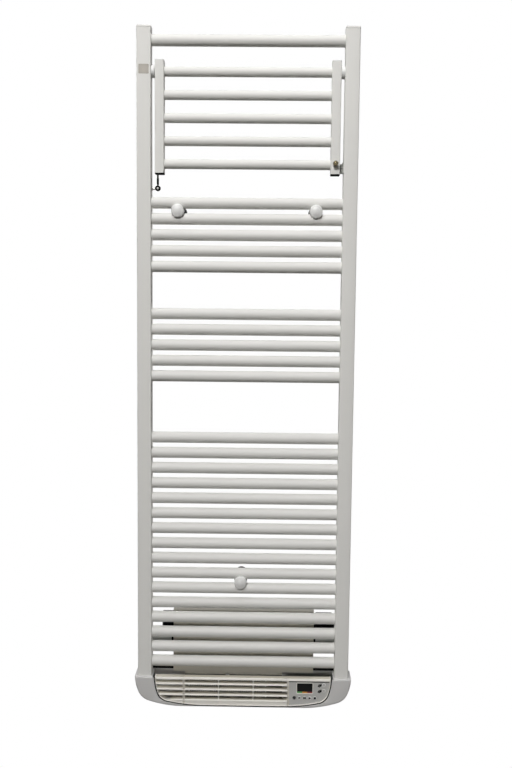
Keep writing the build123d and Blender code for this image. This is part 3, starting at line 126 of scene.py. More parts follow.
@dataclass(frozen=True)
class Signal:
    """Output of a shader node that can be used in Python expressions."""

    graph: Graph
    socket: bpy.types.NodeSocket

    def _math(self, operation: str, first: Signal | float, second: Signal | float) -> Signal:
        """Add one Math node and return its result."""
        return self.graph.node("ShaderNodeMath", {"operation": operation}, {0: first, 1: second})

    def __add__(self, other: Signal | float) -> Signal:
        """Return self + other."""
        return self._math("ADD", self, other)

    def __radd__(self, other: float) -> Signal:
        """Return other + self."""
        return self._math("ADD", other, self)

    def __sub__(self, other: Signal | float) -> Signal:
        """Return self - other."""
        return self._math("SUBTRACT", self, other)

    def __rsub__(self, other: float) -> Signal:
        """Return other - self."""
        return self._math("SUBTRACT", other, self)

    def __mul__(self, other: Signal | float) -> Signal:
        """Return self * other."""
        return self._math("MULTIPLY", self, other)

    def __rmul__(self, other: float) -> Signal:
        """Return other * self."""
        return self._math("MULTIPLY", other, self)

    def __pow__(self, other: Signal | float) -> Signal:
        """Return self to the power other."""
        return self._math("POWER", self, other)


class Graph:
    """Node tree of one material or of the world."""

    def __init__(self, tree: bpy.types.NodeTree) -> None:
        """Start from an empty tree."""
        self.tree = tree
        tree.nodes.clear()

    def node(
        self,
        kind: str,
        settings: dict[str, object] | None = None,
        inputs: dict[int | str, object] | None = None,
        output: int | str = 0,
    ) -> Signal:
        """Add a node, set it and feed it.

        Args:
            kind: the node's type.
            settings: its properties, set first; "stops" holds a ramp's stops.
            inputs: values or links of its sockets, by name or index.
            output: which of its outputs to return.

        Returns:
            The chosen output.
        """
        made = self.tree.nodes.new(kind)
        for name, value in (settings or {}).items():
            if name == "stops":
                ramp = made.color_ramp
                while len(ramp.elements) < len(value):
                    ramp.elements.new(0.5)
                for element, (position, colour) in zip(ramp.elements, value):
                    element.position = position
                    element.color = (*colour, 1.0)
            elif name == "interpolation":
                made.color_ramp.interpolation = value
            else:
                setattr(made, name, value)
        for key, value in (inputs or {}).items():
            socket = made.inputs[key]
            if isinstance(value, Signal):
                self.tree.links.new(value.socket, socket)
            elif isinstance(value, tuple) and len(value) == 3 and socket.type == "RGBA":
                socket.default_value = (*value, 1.0)
            else:
                socket.default_value = value
        outputs = made.outputs
        return Signal(self, outputs[output]) if len(outputs) else Signal(self, made.inputs[0])

    def mix(self, factor: Signal | float, first: object, second: object) -> Signal:
        """Mix two colours by a factor."""
        return self.node("ShaderNodeMix", {"data_type": "RGBA"}, {0: factor, 6: first, 7: second}, 2)

    def place(self) -> Signal:
        """Return the point of the piece that is shaded, in the frame at rest."""
        return self.node("ShaderNodeTexCoord", output="Object")

    def noise(self, scale: float, detail: float = 3.0, rough: float = 0.5,
              stretch: Colour | None = None) -> Signal:
        """Return a soft noise from 0 to 1.

        Args:
            scale: how many features there are in a metre.
            detail: how many finer layers it has.
            rough: how strong the finer layers are.
            stretch: factors for x, y and z, for streaks.

        Returns:
            The noise value.
        """
        where = self.place()
        if stretch:
            where = self.node("ShaderNodeVectorMath", {"operation": "MULTIPLY"},
                              {0: where, 1: stretch})
        inputs = {"Vector": where, "Scale": scale, "Detail": detail, "Roughness": rough}
        return self.node("ShaderNodeTexNoise", None, inputs)

    def coordinate(self, axis: str) -> Signal:
        """Return the place along "X", "Y" or "Z", in metres."""
        return self.node("ShaderNodeSeparateXYZ", None, {0: self.place()}, axis)

    def bump(self, height: Signal, strength: float, depth_mm: float) -> Signal:
        """Return a normal bent by a height from 0 to 1."""
        inputs = {"Height": height, "Strength": strength, "Distance": depth_mm * MM}
        return self.node("ShaderNodeBump", None, inputs)

    def surface(self, **sockets: object) -> None:
        """End the material in a Principled shader.

        Args:
            **sockets: values or links of its sockets, by name in lower case.
        """
        inputs = {name.replace("_", " ").title(): value for name, value in sockets.items()}
        if "Ior" in inputs:
            inputs["IOR"] = inputs.pop("Ior")
        if "Specular" in inputs:
            inputs["Specular IOR Level"] = inputs.pop("Specular")
        shader = self.node("ShaderNodeBsdfPrincipled", None, inputs)
        self.node("ShaderNodeOutputMaterial", None, {0: shader})


# Finishes


@dataclass(frozen=True)
class Finish:
    """A finish with its record slot. Its material is made once and then shared."""

    name: str
    slot: str

    def material(self) -> bpy.types.Material:
        """Make the finish's material once.

        Returns:
            The material.
        """
        found = bpy.data.materials.get(self.name)
        if found:
            return found
        made = bpy.data.materials.new(self.name)
        made.use_nodes = True
        self.paint(Graph(made.node_tree))
        return made

    def paint(self, graph: Graph) -> None:
        """Fill the material's nodes."""
        raise NotImplementedError


@dataclass(frozen=True)
class PowderCoat(Finish):
    """Baked white coat on steel: a fine orange peel under a soft gloss."""

    colour: Colour = (0.83, 0.823, 0.80)
    roughness: float = 0.60

    def paint(self, graph: Graph) -> None:
        """Fill the material's nodes.

        Args:
            graph: the material's empty tree.
        """
        cloud = graph.noise(9.0, 2.0)
        peel = graph.noise(620.0, 2.0, 0.45)
        speck = graph.noise(2600.0, 1.0)
        shade = toned(self.colour, 0.965)
        graph.surface(
            base_color=graph.mix(cloud, self.colour, shade),
            roughness=self.roughness + 0.10 * (peel - 0.5) + 0.05 * (cloud - 0.5),
            specular=0.12,
            normal=graph.bump(peel + 0.25 * speck, 0.10, 0.25),
        )


@dataclass(frozen=True)
class Moulding(Finish):
    """Moulded plastic with a spark-eroded grain and faint flow marks."""

    colour: Colour = (0.80, 0.80, 0.79)
    roughness: float = 0.35
    grain: float = 0.12
    variation: float = 0.03
    gloss: float = 0.2

    def paint(self, graph: Graph) -> None:
        """Fill the material's nodes.

        Args:
            graph: the material's empty tree.
        """
        flow = graph.noise(14.0, 3.0, 0.5, (0.25, 1.0, 1.0))
        grain = graph.noise(1900.0, 2.0, 0.6)
        shade = toned(self.colour, 1.0 - self.variation)
        graph.surface(
            base_color=graph.mix(flow, self.colour, shade),
            roughness=self.roughness + 0.12 * (grain - 0.5),
            specular=self.gloss,
            normal=graph.bump(grain, self.grain, 0.12),
        )


@dataclass(frozen=True)
class BareMetal(Finish):
    """Sheet or turned metal with fine drawn lines and a few dull patches."""

    colour: Colour = (0.52, 0.53, 0.54)
    roughness: float = 0.36
    lines: Colour = (1.0, 40.0, 40.0)

    def paint(self, graph: Graph) -> None:
        """Fill the material's nodes.

        Args:
            graph: the material's empty tree.
        """
        drawn = graph.noise(60.0, 4.0, 0.6, self.lines)
        dull = graph.noise(120.0, 3.0)
        shade = toned(self.colour, 0.8)
        graph.surface(
            base_color=graph.mix(dull, self.colour, shade),
            metallic=1.0,
            roughness=self.roughness + 0.18 * (drawn - 0.5) + 0.10 * (dull - 0.5),
            normal=graph.bump(drawn, 0.10, 0.08),
        )


@dataclass(frozen=True)
class Plating(Finish):
    """Bright or bronzed plating with a hint of handling marks."""

    colour: Colour = (0.72, 0.71, 0.69)
    roughness: float = 0.10

    def paint(self, graph: Graph) -> None:
        """Fill the material's nodes.

        Args:
            graph: the material's empty tree.
        """
        marks = graph.noise(300.0, 4.0, 0.65)
        graph.surface(
            base_color=graph.mix(marks, self.colour, toned(self.colour, 0.88)),
            metallic=1.0,
            roughness=self.roughness + 0.14 * (marks ** 2.0),
        )


@dataclass(frozen=True)
class LabelFilm(Finish):
    """Blank label: pale film with a slightly darker border left by its glue."""

    colour: Colour = (0.44, 0.41, 0.365)
    middle_x: float = 0.0
    middle_z: float = 0.0
    half_width: float = 12.0
    half_height: float = 11.0

    def paint(self, graph: Graph) -> None:
        """Fill the material's nodes.

        Args:
            graph: the material's empty tree.
        """
        away_x = (graph.coordinate("X") - self.middle_x * MM) ** 2.0
        away_z = (graph.coordinate("Z") - self.middle_z * MM) ** 2.0
        edge = away_x * (1 / (self.half_width * MM) ** 2) + away_z * (1 / (self.half_height * MM) ** 2)
        fibre = graph.noise(900.0, 3.0)
        tone = graph.mix(edge * 0.45, self.colour, toned(self.colour, 0.72))
        graph.surface(
            base_color=graph.mix(fibre * 0.3, tone, toned(self.colour, 1.2)),
            roughness=0.42 + 0.1 * fibre,
            normal=graph.bump(fibre, 0.08, 0.05),
        )


@dataclass(frozen=True)
class DisplayGlass(Finish):
    """Dark display window with a smoked layer behind a clear coat."""

    colour: Colour = (0.0045, 0.0045, 0.0045)

    def paint(self, graph: Graph) -> None:
        """Fill the material's nodes.

        Args:
            graph: the material's empty tree.
        """
        haze = graph.noise(90.0, 2.0)
        lighter = toned(self.colour, 2.2)
        graph.surface(
            base_color=graph.mix(haze, self.colour, lighter),
            roughness=0.30 + 0.06 * haze,
            specular=0.06,
        )


@dataclass(frozen=True)
class StatusPrint(Finish):
    """Strip in three fields along x: green, orange and dark red."""

    left_x: float = 0.0
    right_x: float = 1.0

    def paint(self, graph: Graph) -> None:
        """Fill the material's nodes.

        Args:
            graph: the material's empty tree.
        """
        width = (self.right_x - self.left_x) * MM
        along = (graph.coordinate("X") - self.left_x * MM) * (1 / width)
        stops = [(0.0, (0.10, 0.33, 0.08)), (0.34, (0.60, 0.27, 0.03)), (0.67, (0.24, 0.02, 0.015))]
        ramp = graph.node("ShaderNodeValToRGB", {"stops": stops, "interpolation": "CONSTANT"},
                          {0: along})
        graph.surface(base_color=ramp, roughness=0.25 + 0.05 * graph.noise(700.0), coat_weight=0.3)


@dataclass(frozen=True)
class CircuitBoard(Finish):
    """Solder-resist green with darker tracks."""

    def paint(self, graph: Graph) -> None:
        """Fill the material's nodes.

        Args:
            graph: the material's empty tree.
        """
        settings = {"feature": "F1", "distance": "CHEBYCHEV"}
        cells = graph.node("ShaderNodeTexVoronoi", settings, {"Vector": graph.place(), "Scale": 260.0})
        tracks = graph.node("ShaderNodeMath", {"operation": "GREATER_THAN"}, {0: cells, 1: 0.42})
        graph.surface(base_color=graph.mix(tracks, (0.015, 0.11, 0.05), (0.03, 0.20, 0.09)),
                      roughness=0.35 + 0.1 * tracks)


@dataclass(frozen=True)
class WovenMesh(Finish):
    """Plastic mesh of the dust filter, woven along x and z."""

    pitch_mm: float = 1.4
    colour: Colour = (0.07, 0.07, 0.075)

    def paint(self, graph: Graph) -> None:
        """Fill the material's nodes.

        Args:
            graph: the material's empty tree.
        """
        turn = 2 * math.pi / (self.pitch_mm * MM)
        across = graph.node("ShaderNodeMath", {"operation": "SINE"},
                            {0: graph.coordinate("X") * turn})
        upward = graph.node("ShaderNodeMath", {"operation": "SINE"},
                            {0: graph.coordinate("Z") * turn})
        weave = 0.5 + 0.25 * across + 0.25 * upward
        graph.surface(base_color=graph.mix(weave, self.colour, toned(self.colour, 2.4)),
                      roughness=0.55 + 0.15 * weave, normal=graph.bump(weave, 0.5, 0.3))


WHITE_COAT = PowderCoat("white powder coat", "white_paint")
WHITE_SHELL = Moulding("white casing plastic", "white_plastic", (0.68, 0.67, 0.665), 0.34)
WHITE_INSERT = Moulding("white louvre plastic", "white_plastic", (0.90, 0.875, 0.82), 0.36)
# Darker copy of the louvre plastic: painted shade on the blade leaves, on the web behind the visor and on
# the end ribs.
LOUVRE_PAINTED_SHADE = Moulding("louvre plastic painted shade", "white_plastic", (0.66, 0.62, 0.53), 0.6)
WHITE_PANEL = Moulding("white fascia plastic", "white_plastic", (0.55, 0.545, 0.53), 0.36)
WHITE_TRIM = Moulding("small white trim", "white_trim", (0.82, 0.82, 0.815), 0.26, 0.06)
CAP_WHITE = Moulding("domed cap white", "white_plastic", (0.84, 0.84, 0.83), 0.20, 0.05)
BLACK = Moulding("black plastic", "black_plastic", (0.006, 0.006, 0.006), 0.75, 0.20, 0.2, 0.03)
BEIGE = Moulding("beige housing plastic", "beige_housing", (0.80, 0.76, 0.66), 0.5, 0.25, 0.08)
PALE_BUSH = Moulding("bearing plastic", "bush_plastic", (0.60, 0.60, 0.58), 0.4)
KEY_WHITE = Moulding("white button", "button_plastic", (0.56, 0.555, 0.54), 0.34, 0.05)
KEY_RING = Moulding("button rim", "button_plastic", (0.86, 0.86, 0.85), 0.35, 0.05)
KEY_DARK = Moulding("dark grey button", "button_dark", (0.035, 0.035, 0.036), 0.45, 0.08)
INK = Moulding("dark printed mark", "button_dark", (0.012, 0.012, 0.012), 0.7, 0.04)
DUCT = Moulding("duct plastic", "duct_plastic", (0.020, 0.020, 0.021), 0.6, 0.2, 0.2)
MODULE = Moulding("display module", "module", (0.02, 0.02, 0.022), 0.4, 0.1)
FAN = Moulding("fan wheel plastic", "fan_plastic", (0.03, 0.03, 0.032), 0.5, 0.1, 0.15)
MOTOR = PowderCoat("motor coat", "motor_case", (0.04, 0.04, 0.042), 0.4)
# Black rubber of the cable gland; the same black also paints shadow in the casing's gaps.
BLACK_RUBBER_AND_SHADOW = Moulding("black rubber and painted shadow", "gland_rubber", (0.01, 0.01, 0.01), 0.75, 0.3, 0.2, 0.05)
MAT = Moulding("grey silicone", "mat_rubber", (0.10, 0.10, 0.105), 0.7, 0.2, 0.1)
MAGNET = Moulding("magnet", "magnet", (0.02, 0.02, 0.02), 0.6, 0.3, 0.2)
GREY_SHEET = PowderCoat("grey coated sheet", "catch_grey", (0.62, 0.63, 0.60), 0.5)
STEEL = BareMetal("plated screw steel", "steel", (0.58, 0.58, 0.57), 0.30)
FINS = BareMetal("heater fins", "heater_fins", (0.60, 0.60, 0.61), 0.40)
CHROME = Plating("dull chrome plating", "chrome", (0.40, 0.40, 0.385), 0.30)
BRONZE = Plating("dark bronze plating", "knob_metal", (0.15, 0.125, 0.075), 0.16)
BOARD = CircuitBoard("circuit board", "board")
FILTER = WovenMesh("filter mesh", "filter_mesh")
WINDOW = DisplayGlass("display window", "window_glass")


# Shapes


@dataclass(frozen=True)
class Arc:
    """Circular arc in a plane, as part of an outline that bulges away from its centre."""

    centre: Vector
    first: Vector
    sweep: float

    @classmethod
    def between(cls, start: Vector, end: Vector, tangent: Vector) -> Arc:
        """Find the arc that leaves a point along a tangent.

        Args:
            start: where it starts.
            end: where it ends.
            tangent: its direction at the start.

        Returns:
            The arc.
        """
        chord = end - start
        side = Vector((-tangent.y, tangent.x)).normalized()
        centre = start + side * (chord.length_squared / (2 * chord.dot(side)))
        first, last = start - centre, end - centre
        return cls(centre, first, math.atan2(first.x * last.y - first.y * last.x, first.dot(last)))

    def at(self, part: float, amount: float = 0.0) -> Vector:
        """Return the point after a part of the arc, moved towards the centre by an amount."""
        reach = 1 - amount / self.first.length
        return self.centre + Matrix.Rotation(self.sweep * part, 2) @ self.first * reach

    def tangent(self) -> Vector:
        """Return the direction at the arc's end."""
        last = Matrix.Rotation(self.sweep, 2) @ self.first
        return Vector((-last.y, last.x)) * (1 if self.sweep > 0 else -1)


def rounded_rectangle(width: float, depth: float, radius: float, steps: int = 6) -> list[Span]:
    """Return the points of a rectangle with round corners, round its own middle.

    Args:
        width: its width.
        depth: its depth.
        radius: radius of its corners.
        steps: how many pieces each corner is cut into.

    Returns:
        The points, in one turn.
    """
    points = []
    for corner, (sx, sy) in enumerate(((1, 1), (-1, 1), (-1, -1), (1, -1))):
        for step in range(steps + 1):
            angle = math.radians(90 * corner + 90 * step / steps)
            points.append((
                sx * (width / 2 - radius) + radius * math.cos(angle),
                sy * (depth / 2 - radius) + radius * math.sin(angle),
            ))
    return points


def inset(points: Sequence[Span], amount: float) -> list[Span]:
    """Move every point of a closed outline inwards, with mitred corners.

    Args:
        points: the outline, in either direction.
        amount: how far inwards; negative is outwards.

    Returns:
        The moved points, in the same order.
    """
    count = len(points)
    area = sum(points[i][0] * points[(i + 1) % count][1] - points[(i + 1) % count][0] * points[i][1]
               for i in range(count))
    turn = 1 if area > 0 else -1
    moved = []
    for i in range(count):
        before = Vector(points[i]) - Vector(points[i - 1])
        after = Vector(points[(i + 1) % count]) - Vector(points[i])
        one = Vector((-before.y, before.x)).normalized() * turn
        two = Vector((-after.y, after.x)).normalized() * turn
        both = (one + two) / (1 + one.dot(two))
        moved.append(tuple(Vector(points[i]) + both * amount))
    return moved


def rectangle(x: float, z: float, half_width: float, half_height: float) -> list[Span]:
    """Return the corners of a rectangle round a centre."""
    return [(x - half_width, z - half_height), (x + half_width, z - half_height),
            (x + half_width, z + half_height), (x - half_width, z + half_height)]


def soften(made: bpy.types.Object, radius: float) -> None:
    """Round an object's steep edges with a modifier.

    Args:
        made: the object.
        radius: radius of the rounding.
    """
    modifier = made.modifiers.new("edge", "BEVEL")
    modifier.width = radius * MM
    modifier.segments = 2
    modifier.limit_method = "ANGLE"
    modifier.angle_limit = math.radians(50)


def quarter(radius: float, steps: int = 5) -> list[Span]:
    """Return the section of a rounded edge, from its side to its top.

    Args:
        radius: the edge's radius.
        steps: how many pieces it is cut into.

    Returns:
        The (inset, rise) pairs.
    """
    return [
        (radius * (1 - math.cos(math.pi / 2 * i / steps)), radius * math.sin(math.pi / 2 * i / steps))
        for i in range(steps + 1)
    ]


class Skin:
    """Mesh of one piece while it is being built."""

    def __init__(self) -> None:
        """Start empty."""
        self.bm = bmesh.new()
        self.finish = 0

    def face(self, verts: Sequence[bmesh.types.BMVert]) -> None:
        """Add one face in the current finish."""
        self.bm.faces.new(verts).material_index = self.finish

    def loft(self, rings: Sequence[Sequence[Point]], closed: bool = True, capped: bool = True) -> None:
        """Join rings of equally many points.

        Args:
            rings: the rings, in x, off and z.
            closed: whether each ring runs round.
            capped: whether the first and last ring are filled.
        """
        loops = [[self.bm.verts.new(place(*point)) for point in ring] for ring in rings]
        count = len(loops[0])
        for one, two in zip(loops, loops[1:]):
            for i in range(count if closed else count - 1):
                j = (i + 1) % count
                self.face((one[i], one[j], two[j], two[i]))
        if capped:
            self.face(list(reversed(loops[0])))
            self.face(loops[-1])

    def turned(self, profile: Sequence[Span], centre: Point, along: Along, steps: int = 48,
               stretch: float = 1.0) -> None:
        """Add a turned piece.

        Args:
            profile: radius and distance from the centre, one pair after another.
            centre: where the distances start, in x, off and z.
            along: which way the distances go.
            steps: how many sides it has.
            stretch: factor for the height, for an oval piece.
        """
        rings = []
        for radius, far in profile:
            ring = []
            for step in range(steps):
                angle = 2 * math.pi * step / steps
                a, b = radius * math.cos(angle), radius * math.sin(angle) * stretch
                shift = {Along.RIGHT: (far, a, b), Along.ROOM: (a, far, b), Along.UP: (a, b, far)}
                ring.append(tuple(c + s for c, s in zip(centre, shift[along])))
            rings.append(ring)
        self.loft(rings)

    def upright_bar(self, x: float, off: float, outline: Sequence[Span],
                    stages: Sequence[Span]) -> None:
        """Add a standing bar.

        Args:
            x: its middle.
            off: its middle's distance from the wall.
            outline: its cross-section.
            stages: (inset, height) pairs from its bottom to its top.
        """
        rings = []
        for amount, height in stages:
            ring = inset(outline, amount) if amount else list(outline)
            rings.append([(x + px, off + py, height) for px, py in ring])
        self.loft(rings)

    def block(self, x: Span, off: Span, z: Span, edge: float = 0.5, segments: int = 2) -> None:
        """Add a block with rounded edges.

        Args:
            x: its span to the right.
            off: its span from the wall.
            z: its span upwards.
            edge: radius of its edges.
            segments: how many faces each edge has.
        """
        verts = bmesh.ops.create_cube(self.bm, size=1.0)["verts"]
        for vert in verts:
            vert.co = place(middle(x) + vert.co.x * length(x), middle(off) + vert.co.y * length(off),
                            middle(z) + vert.co.z * length(z))
        for made in {f for vert in verts for f in vert.link_faces}:
            made.material_index = self.finish
        if edge:
            edges = list({e for vert in verts for e in vert.link_edges})
            bmesh.ops.bevel(self.bm, geom=edges, offset=edge * MM, segments=segments, profile=0.5,
                            affect="EDGES", clamp_overlap=True)

    def prism(self, outline: Sequence[Span] | Callable[[float], Sequence[Span]],
              stages: Sequence[Span]) -> None:
        """Add a piece with an outline in x and z.

        Args:
            outline: its points seen from the room, or what gives them for an inset.
            stages: (inset, off) pairs from its back to its front.
        """
        inside = outline if callable(outline) else lambda amount: inset(outline, amount)
        self.loft([[(px, off, pz) for px, pz in inside(amount)] for amount, off in stages])

    def shells(self) -> Iterable[list[bmesh.types.BMFace]]:
        """Part the mesh into its separate closed shells.

        Yields:
            The faces of one shell after another.
        """
        left = set(self.bm.faces)
        while left:
            shell, waiting = [], [left.pop()]
            while waiting:
                current = waiting.pop()
                shell.append(current)
                near = {f for e in current.edges for f in e.link_faces} & left
                left -= near
                waiting.extend(near)
            yield shell

    def mesh(self, name: str) -> bpy.types.Mesh:
        """Finish the mesh, with all its faces turned outwards.

        Args:
            name: the mesh's name.

        Returns:
            The mesh.
        """
        bmesh.ops.recalc_face_normals(self.bm, faces=self.bm.faces)
        for shell in self.shells():
            inside = sum(f.normal.dot(f.calc_center_median()) * f.calc_area() for f in shell)
            if inside < 0:
                bmesh.ops.reverse_faces(self.bm, faces=shell)
        made = bpy.data.meshes.new(name)
        self.bm.to_mesh(made)
        self.bm.free()
        return made

    def scratch(self, name: str) -> bpy.types.Object:
        """Put the mesh into the scene as a plain object.

        Args:
            name: the object's name.

        Returns:
            The object.
        """
        made = bpy.data.objects.new(name, self.mesh(name))
        bpy.context.scene.collection.objects.link(made)
        return made

    def piece(self, name: str, finishes: Sequence[Finish], body: str = "ladder",
              stands_for: Sequence[str] = (), cuts: Sequence[Skin] = (),
              edge: float = 0.0, sharp: float = 32.0,
              added: Skin | None = None) -> bpy.types.Object:
        """Turn the mesh into a piece of the object.

        Args:
            name: the piece's name.
            finishes: its finishes, in the order in which they were used.
            body: the body it moves with.
            stands_for: the solids that it is shown instead of.
            cuts: shapes that are taken away from it.
            edge: radius of the edges that the cuts leave.
            sharp: edges steeper than this angle stay crisp.
            added: what joins it after the cuts.

        Returns:
            The piece.
        """
        made = self.scratch(name)
        for number, cut in enumerate(cuts):
            tool = cut.scratch(f"{name}_cut_{number}")
            modifier = made.modifiers.new("cut", "BOOLEAN")
            modifier.operation = "DIFFERENCE"
            modifier.solver = "EXACT"
            modifier.object = tool
            tool.hide_set(True)
        if edge:
            soften(made, edge)
        if made.modifiers:
            graph = bpy.context.evaluated_depsgraph_get()
            baked = bpy.data.meshes.new_from_object(made.evaluated_get(graph))
            tools = [m.object for m in made.modifiers if m.type == "BOOLEAN"]
            made.modifiers.clear()
            made.data = baked
            for tool in tools:
                bpy.data.objects.remove(tool)
        if added:
            joined = bmesh.new()
            joined.from_mesh(made.data)
            joined.from_mesh(added.mesh(f"{name}_added"))
            joined.to_mesh(made.data)
            joined.free()
        for finish in finishes:
            made.data.materials.append(finish.material())
        made.data.shade_smooth()
        made.data.set_sharp_from_angle(angle=math.radians(sharp))
        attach(made, body)
        if stands_for:
            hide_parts(*stands_for)
        log.info("%s: %d faces on %s", name, len(made.data.polygons), body)
        return made


# Ladder


@dataclass(frozen=True)
class WeldedRung:
    """Round rung that flares into the steel at both of its ends."""

    radius: float
    weld: float
    weld_length: float
    sides: int
    steps: int = 5

    def add(self, skin: Skin, reach: float, off: float, z: float) -> None:
        """Add one rung.

        Args:
            skin: the mesh that it goes into.
            reach: how far it goes from the middle to either side.
            off: its distance from the wall.
            z: its height.
        """
        turns = [math.pi / 2 * i / self.steps for i in range(self.steps + 1)]
        flare = [(self.radius + self.weld * (1 - math.sin(a)), self.weld_length * (1 - math.cos(a)))
                 for a in turns]
        profile = [(r, far - reach) for r, far in flare]
        profile += [(r, reach - far) for r, far in reversed(flare)]
        skin.turned(profile, (0.0, off, z), Along.RIGHT, self.sides)


@dataclass
class Ladder:
    """Uprights, their caps and the round rungs between them."""

    rung: WeldedRung = WeldedRung(14.0, 1.5, 3.2, 56)
    rung_pitch: float = 38.5
    rows_above_origin: float = 10.5
    upright_width: float = 35.0
    upright_depth: float = 32.0
    corner: float = 3.0
    foot_round: float = 0.6
    seam_z: float = -957.5
    seam_depth: float = 0.18
    seam_floor: float = 0.15
    seam_mouth: float = 0.5
    cap_joint: float = 0.25
    cap_seat: float = 0.3
    cap_pillow: float = 2.8
    vent_profile: tuple[Span, ...] = ((5.4, HAIR), (5.4, 1.2), (4.9, 1.8), (4.4, 2.0))
    vent_slot: tuple[float, float, float] = (3.4, 0.6, 0.9)
    label_corner: float = 1.2
    label_edge: float = 0.08
    groups: dict[str, tuple[int, int]] = field(default_factory=lambda: {
        "top_rung": (0, 1),
        "upper_rungs": (10, 15),
        "middle_rungs": (17, 22),
        "lower_rungs": (25, 41),
    })

    def __post_init__(self) -> None:
        """Read the uprights' places."""
        self.x_span, self.off_span, self.z_span = node_spans("right_upright")
        self.inner_x = self.x_span[0]
        self.off = middle(self.off_span)
        self.section = rounded_rectangle(self.upright_width, self.upright_depth, self.corner)

    def row_z(self, row: float) -> float:
        """Return the height of a row of rungs."""
        return (self.rows_above_origin - row) * self.rung_pitch

    def uprights(self) -> None:
        """Build both uprights with their faint seam."""
        low, high = self.z_span
        stages = [
            (self.foot_round, low), (0.0, low + self.foot_round),
            (0.0, self.seam_z - self.seam_mouth), (self.seam_depth, self.seam_z - self.seam_floor),
            (self.seam_depth, self.seam_z + self.seam_floor), (0.0, self.seam_z + self.seam_mouth),
            (0.0, 0.0), (0.0, high - self.cap_joint), (self.cap_joint, high),
        ]
        for side, node in ((-1, "left_upright"), (1, "right_upright")):
            skin = Skin()
            skin.upright_bar(side * middle(self.x_span), self.off, self.section, stages)
            skin.piece(f"{node}_tube", [WHITE_COAT], stands_for=[node], sharp=20)

    def caps(self) -> None:
        """Build the pillowed caps of both uprights."""
        top, seat = node_spans("upright_caps")[2][1], self.z_span[1]
        stages = [(self.cap_joint, seat + HAIR), (0.0, seat + self.cap_seat)]
        stages += [(amount, top - self.cap_pillow + rise)
                   for amount, rise in quarter(self.cap_pillow, 6)]
        skin = Skin()
        for side in (-1, 1):
            skin.upright_bar(side * middle(self.x_span), self.off, self.section, stages)
        skin.piece("upright_top_caps", [WHITE_COAT], stands_for=["upright_caps"], sharp=60)

    def vent_plug(self) -> None:
        """Build the slotted vent plug on the left cap."""
        x, _, z = node_spans("vent_plug")
        half_length, half_width, depth = self.vent_slot
        skin, slot = Skin(), Skin()
        skin.turned(self.vent_profile, (middle(x), self.off, z[0]), Along.UP)
        slot.block(around(middle(x), half_length), around(self.off, half_width),
                   (z[1] - depth, z[1] + depth), 0)
        skin.piece("vent_plug_screw", [WHITE_TRIM], stands_for=["vent_plug"], cuts=[slot])

    def rungs(self) -> None:
        """Build the groups of rungs."""
        for node, (first, last) in self.groups.items():
            skin = Skin()
            for row in range(first, last):
                self.rung.add(skin, self.inner_x - HAIR, self.off, self.row_z(row))
            skin.piece(f"{node}_welded", [WHITE_COAT], stands_for=[node])

    def label(self) -> None:
        """Build the blank label with round corners."""
        x, off, z = node_spans("blank_label")
        width, height = length(x), length(z)
        outline = [(middle(x) + px, middle(z) + pz)
                   for px, pz in rounded_rectangle(width, height, self.label_corner, 4)]
        film = LabelFilm("blank label film", "label_print", middle_x=middle(x), middle_z=middle(z),
                         half_width=width / 2, half_height=height / 2)
        skin = Skin()
        skin.prism(outline, [(0.0, off[0] + HAIR / 2), (0.0, off[1] - 0.06), (self.label_edge, off[1])])
        skin.piece("blank_label_film", [film], stands_for=["blank_label"])

    def build(self) -> None:
        """Build the whole ladder."""
        self.uprights()
        self.caps()
        self.vent_plug()
        self.rungs()
        self.label()


# Wall brackets


@dataclass
class BracketSet:
    """Domed caps of the three wall brackets."""

    ladder: Ladder
    places: tuple[Span, ...] = ((-168.0, 0.0), (168.0, 0.0), (-8.0, -924.0))
    half_width: float = 15.6
    half_height: float = 16.4
    side_off: float = 89.0
    dome_radius: float = 4.6
    back_off: float = 80.0
    front_off: float = 97.0
    power: float = 2.12
    rung_gap: float = 0.25
    least_side: float = 0.2
    crown: tuple[Span, ...] = ((6.6, 0.36), (8.8, 0.62), (11.0, 0.82), (13.2, 0.95), (15.0, 1.0))

    def oval(self, amount: float, steps: int = 72) -> list[Span]:
        """Draw the cap's squarish oval.

        Args:
            amount: how far it is moved inwards.
            steps: how many points it has.

        Returns:
            The points, round the cap's middle.
        """
        points = []
        for step in range(steps):
            angle = 2 * math.pi * step / steps
            c, s = math.cos(angle), math.sin(angle)
            reach = (abs(c) ** self.power + abs(s) ** self.power) ** (-1 / self.power)
            points.append(((self.half_width - amount) * c * reach,
                           (self.half_height - amount) * s * reach))
        return points

    def edge_off(self, z: float) -> float:
        """Find where the cap's edge ends over the rungs.

        Args:
            z: height above the cap's middle.

        Returns:
            The edge's distance from the wall.
        """
        radius = self.ladder.rung.radius + self.rung_gap
        away = abs(abs(z) - self.ladder.rung_pitch / 2)
        if away >= radius:
            return self.back_off
        return max(self.back_off, self.ladder.off + math.sqrt(radius ** 2 - away ** 2))

    def build(self) -> None:
        """Build the caps, with a raised centre on each."""
        skin = Skin()
        shoulder = self.side_off + self.dome_radius
        for x, z in self.places:
            rings = [[(x + px, self.edge_off(pz), z + pz) for px, pz in self.oval(0.0)]]
            for amount, rise in quarter(self.dome_radius, 6):
                rings.append([
                    (x + px, max(self.side_off + rise, self.edge_off(pz) + self.least_side), z + pz)
                    for px, pz in self.oval(amount)
                ])
            for amount, part in self.crown:
                off = shoulder + (self.front_off - shoulder) * part
                rings.append([(x + px, off, z + pz) for px, pz in self.oval(amount)])
            skin.loft(rings)
        skin.piece("domed_bracket_caps", [CAP_WHITE], stands_for=["bracket_caps"], sharp=50)


# Drying rack


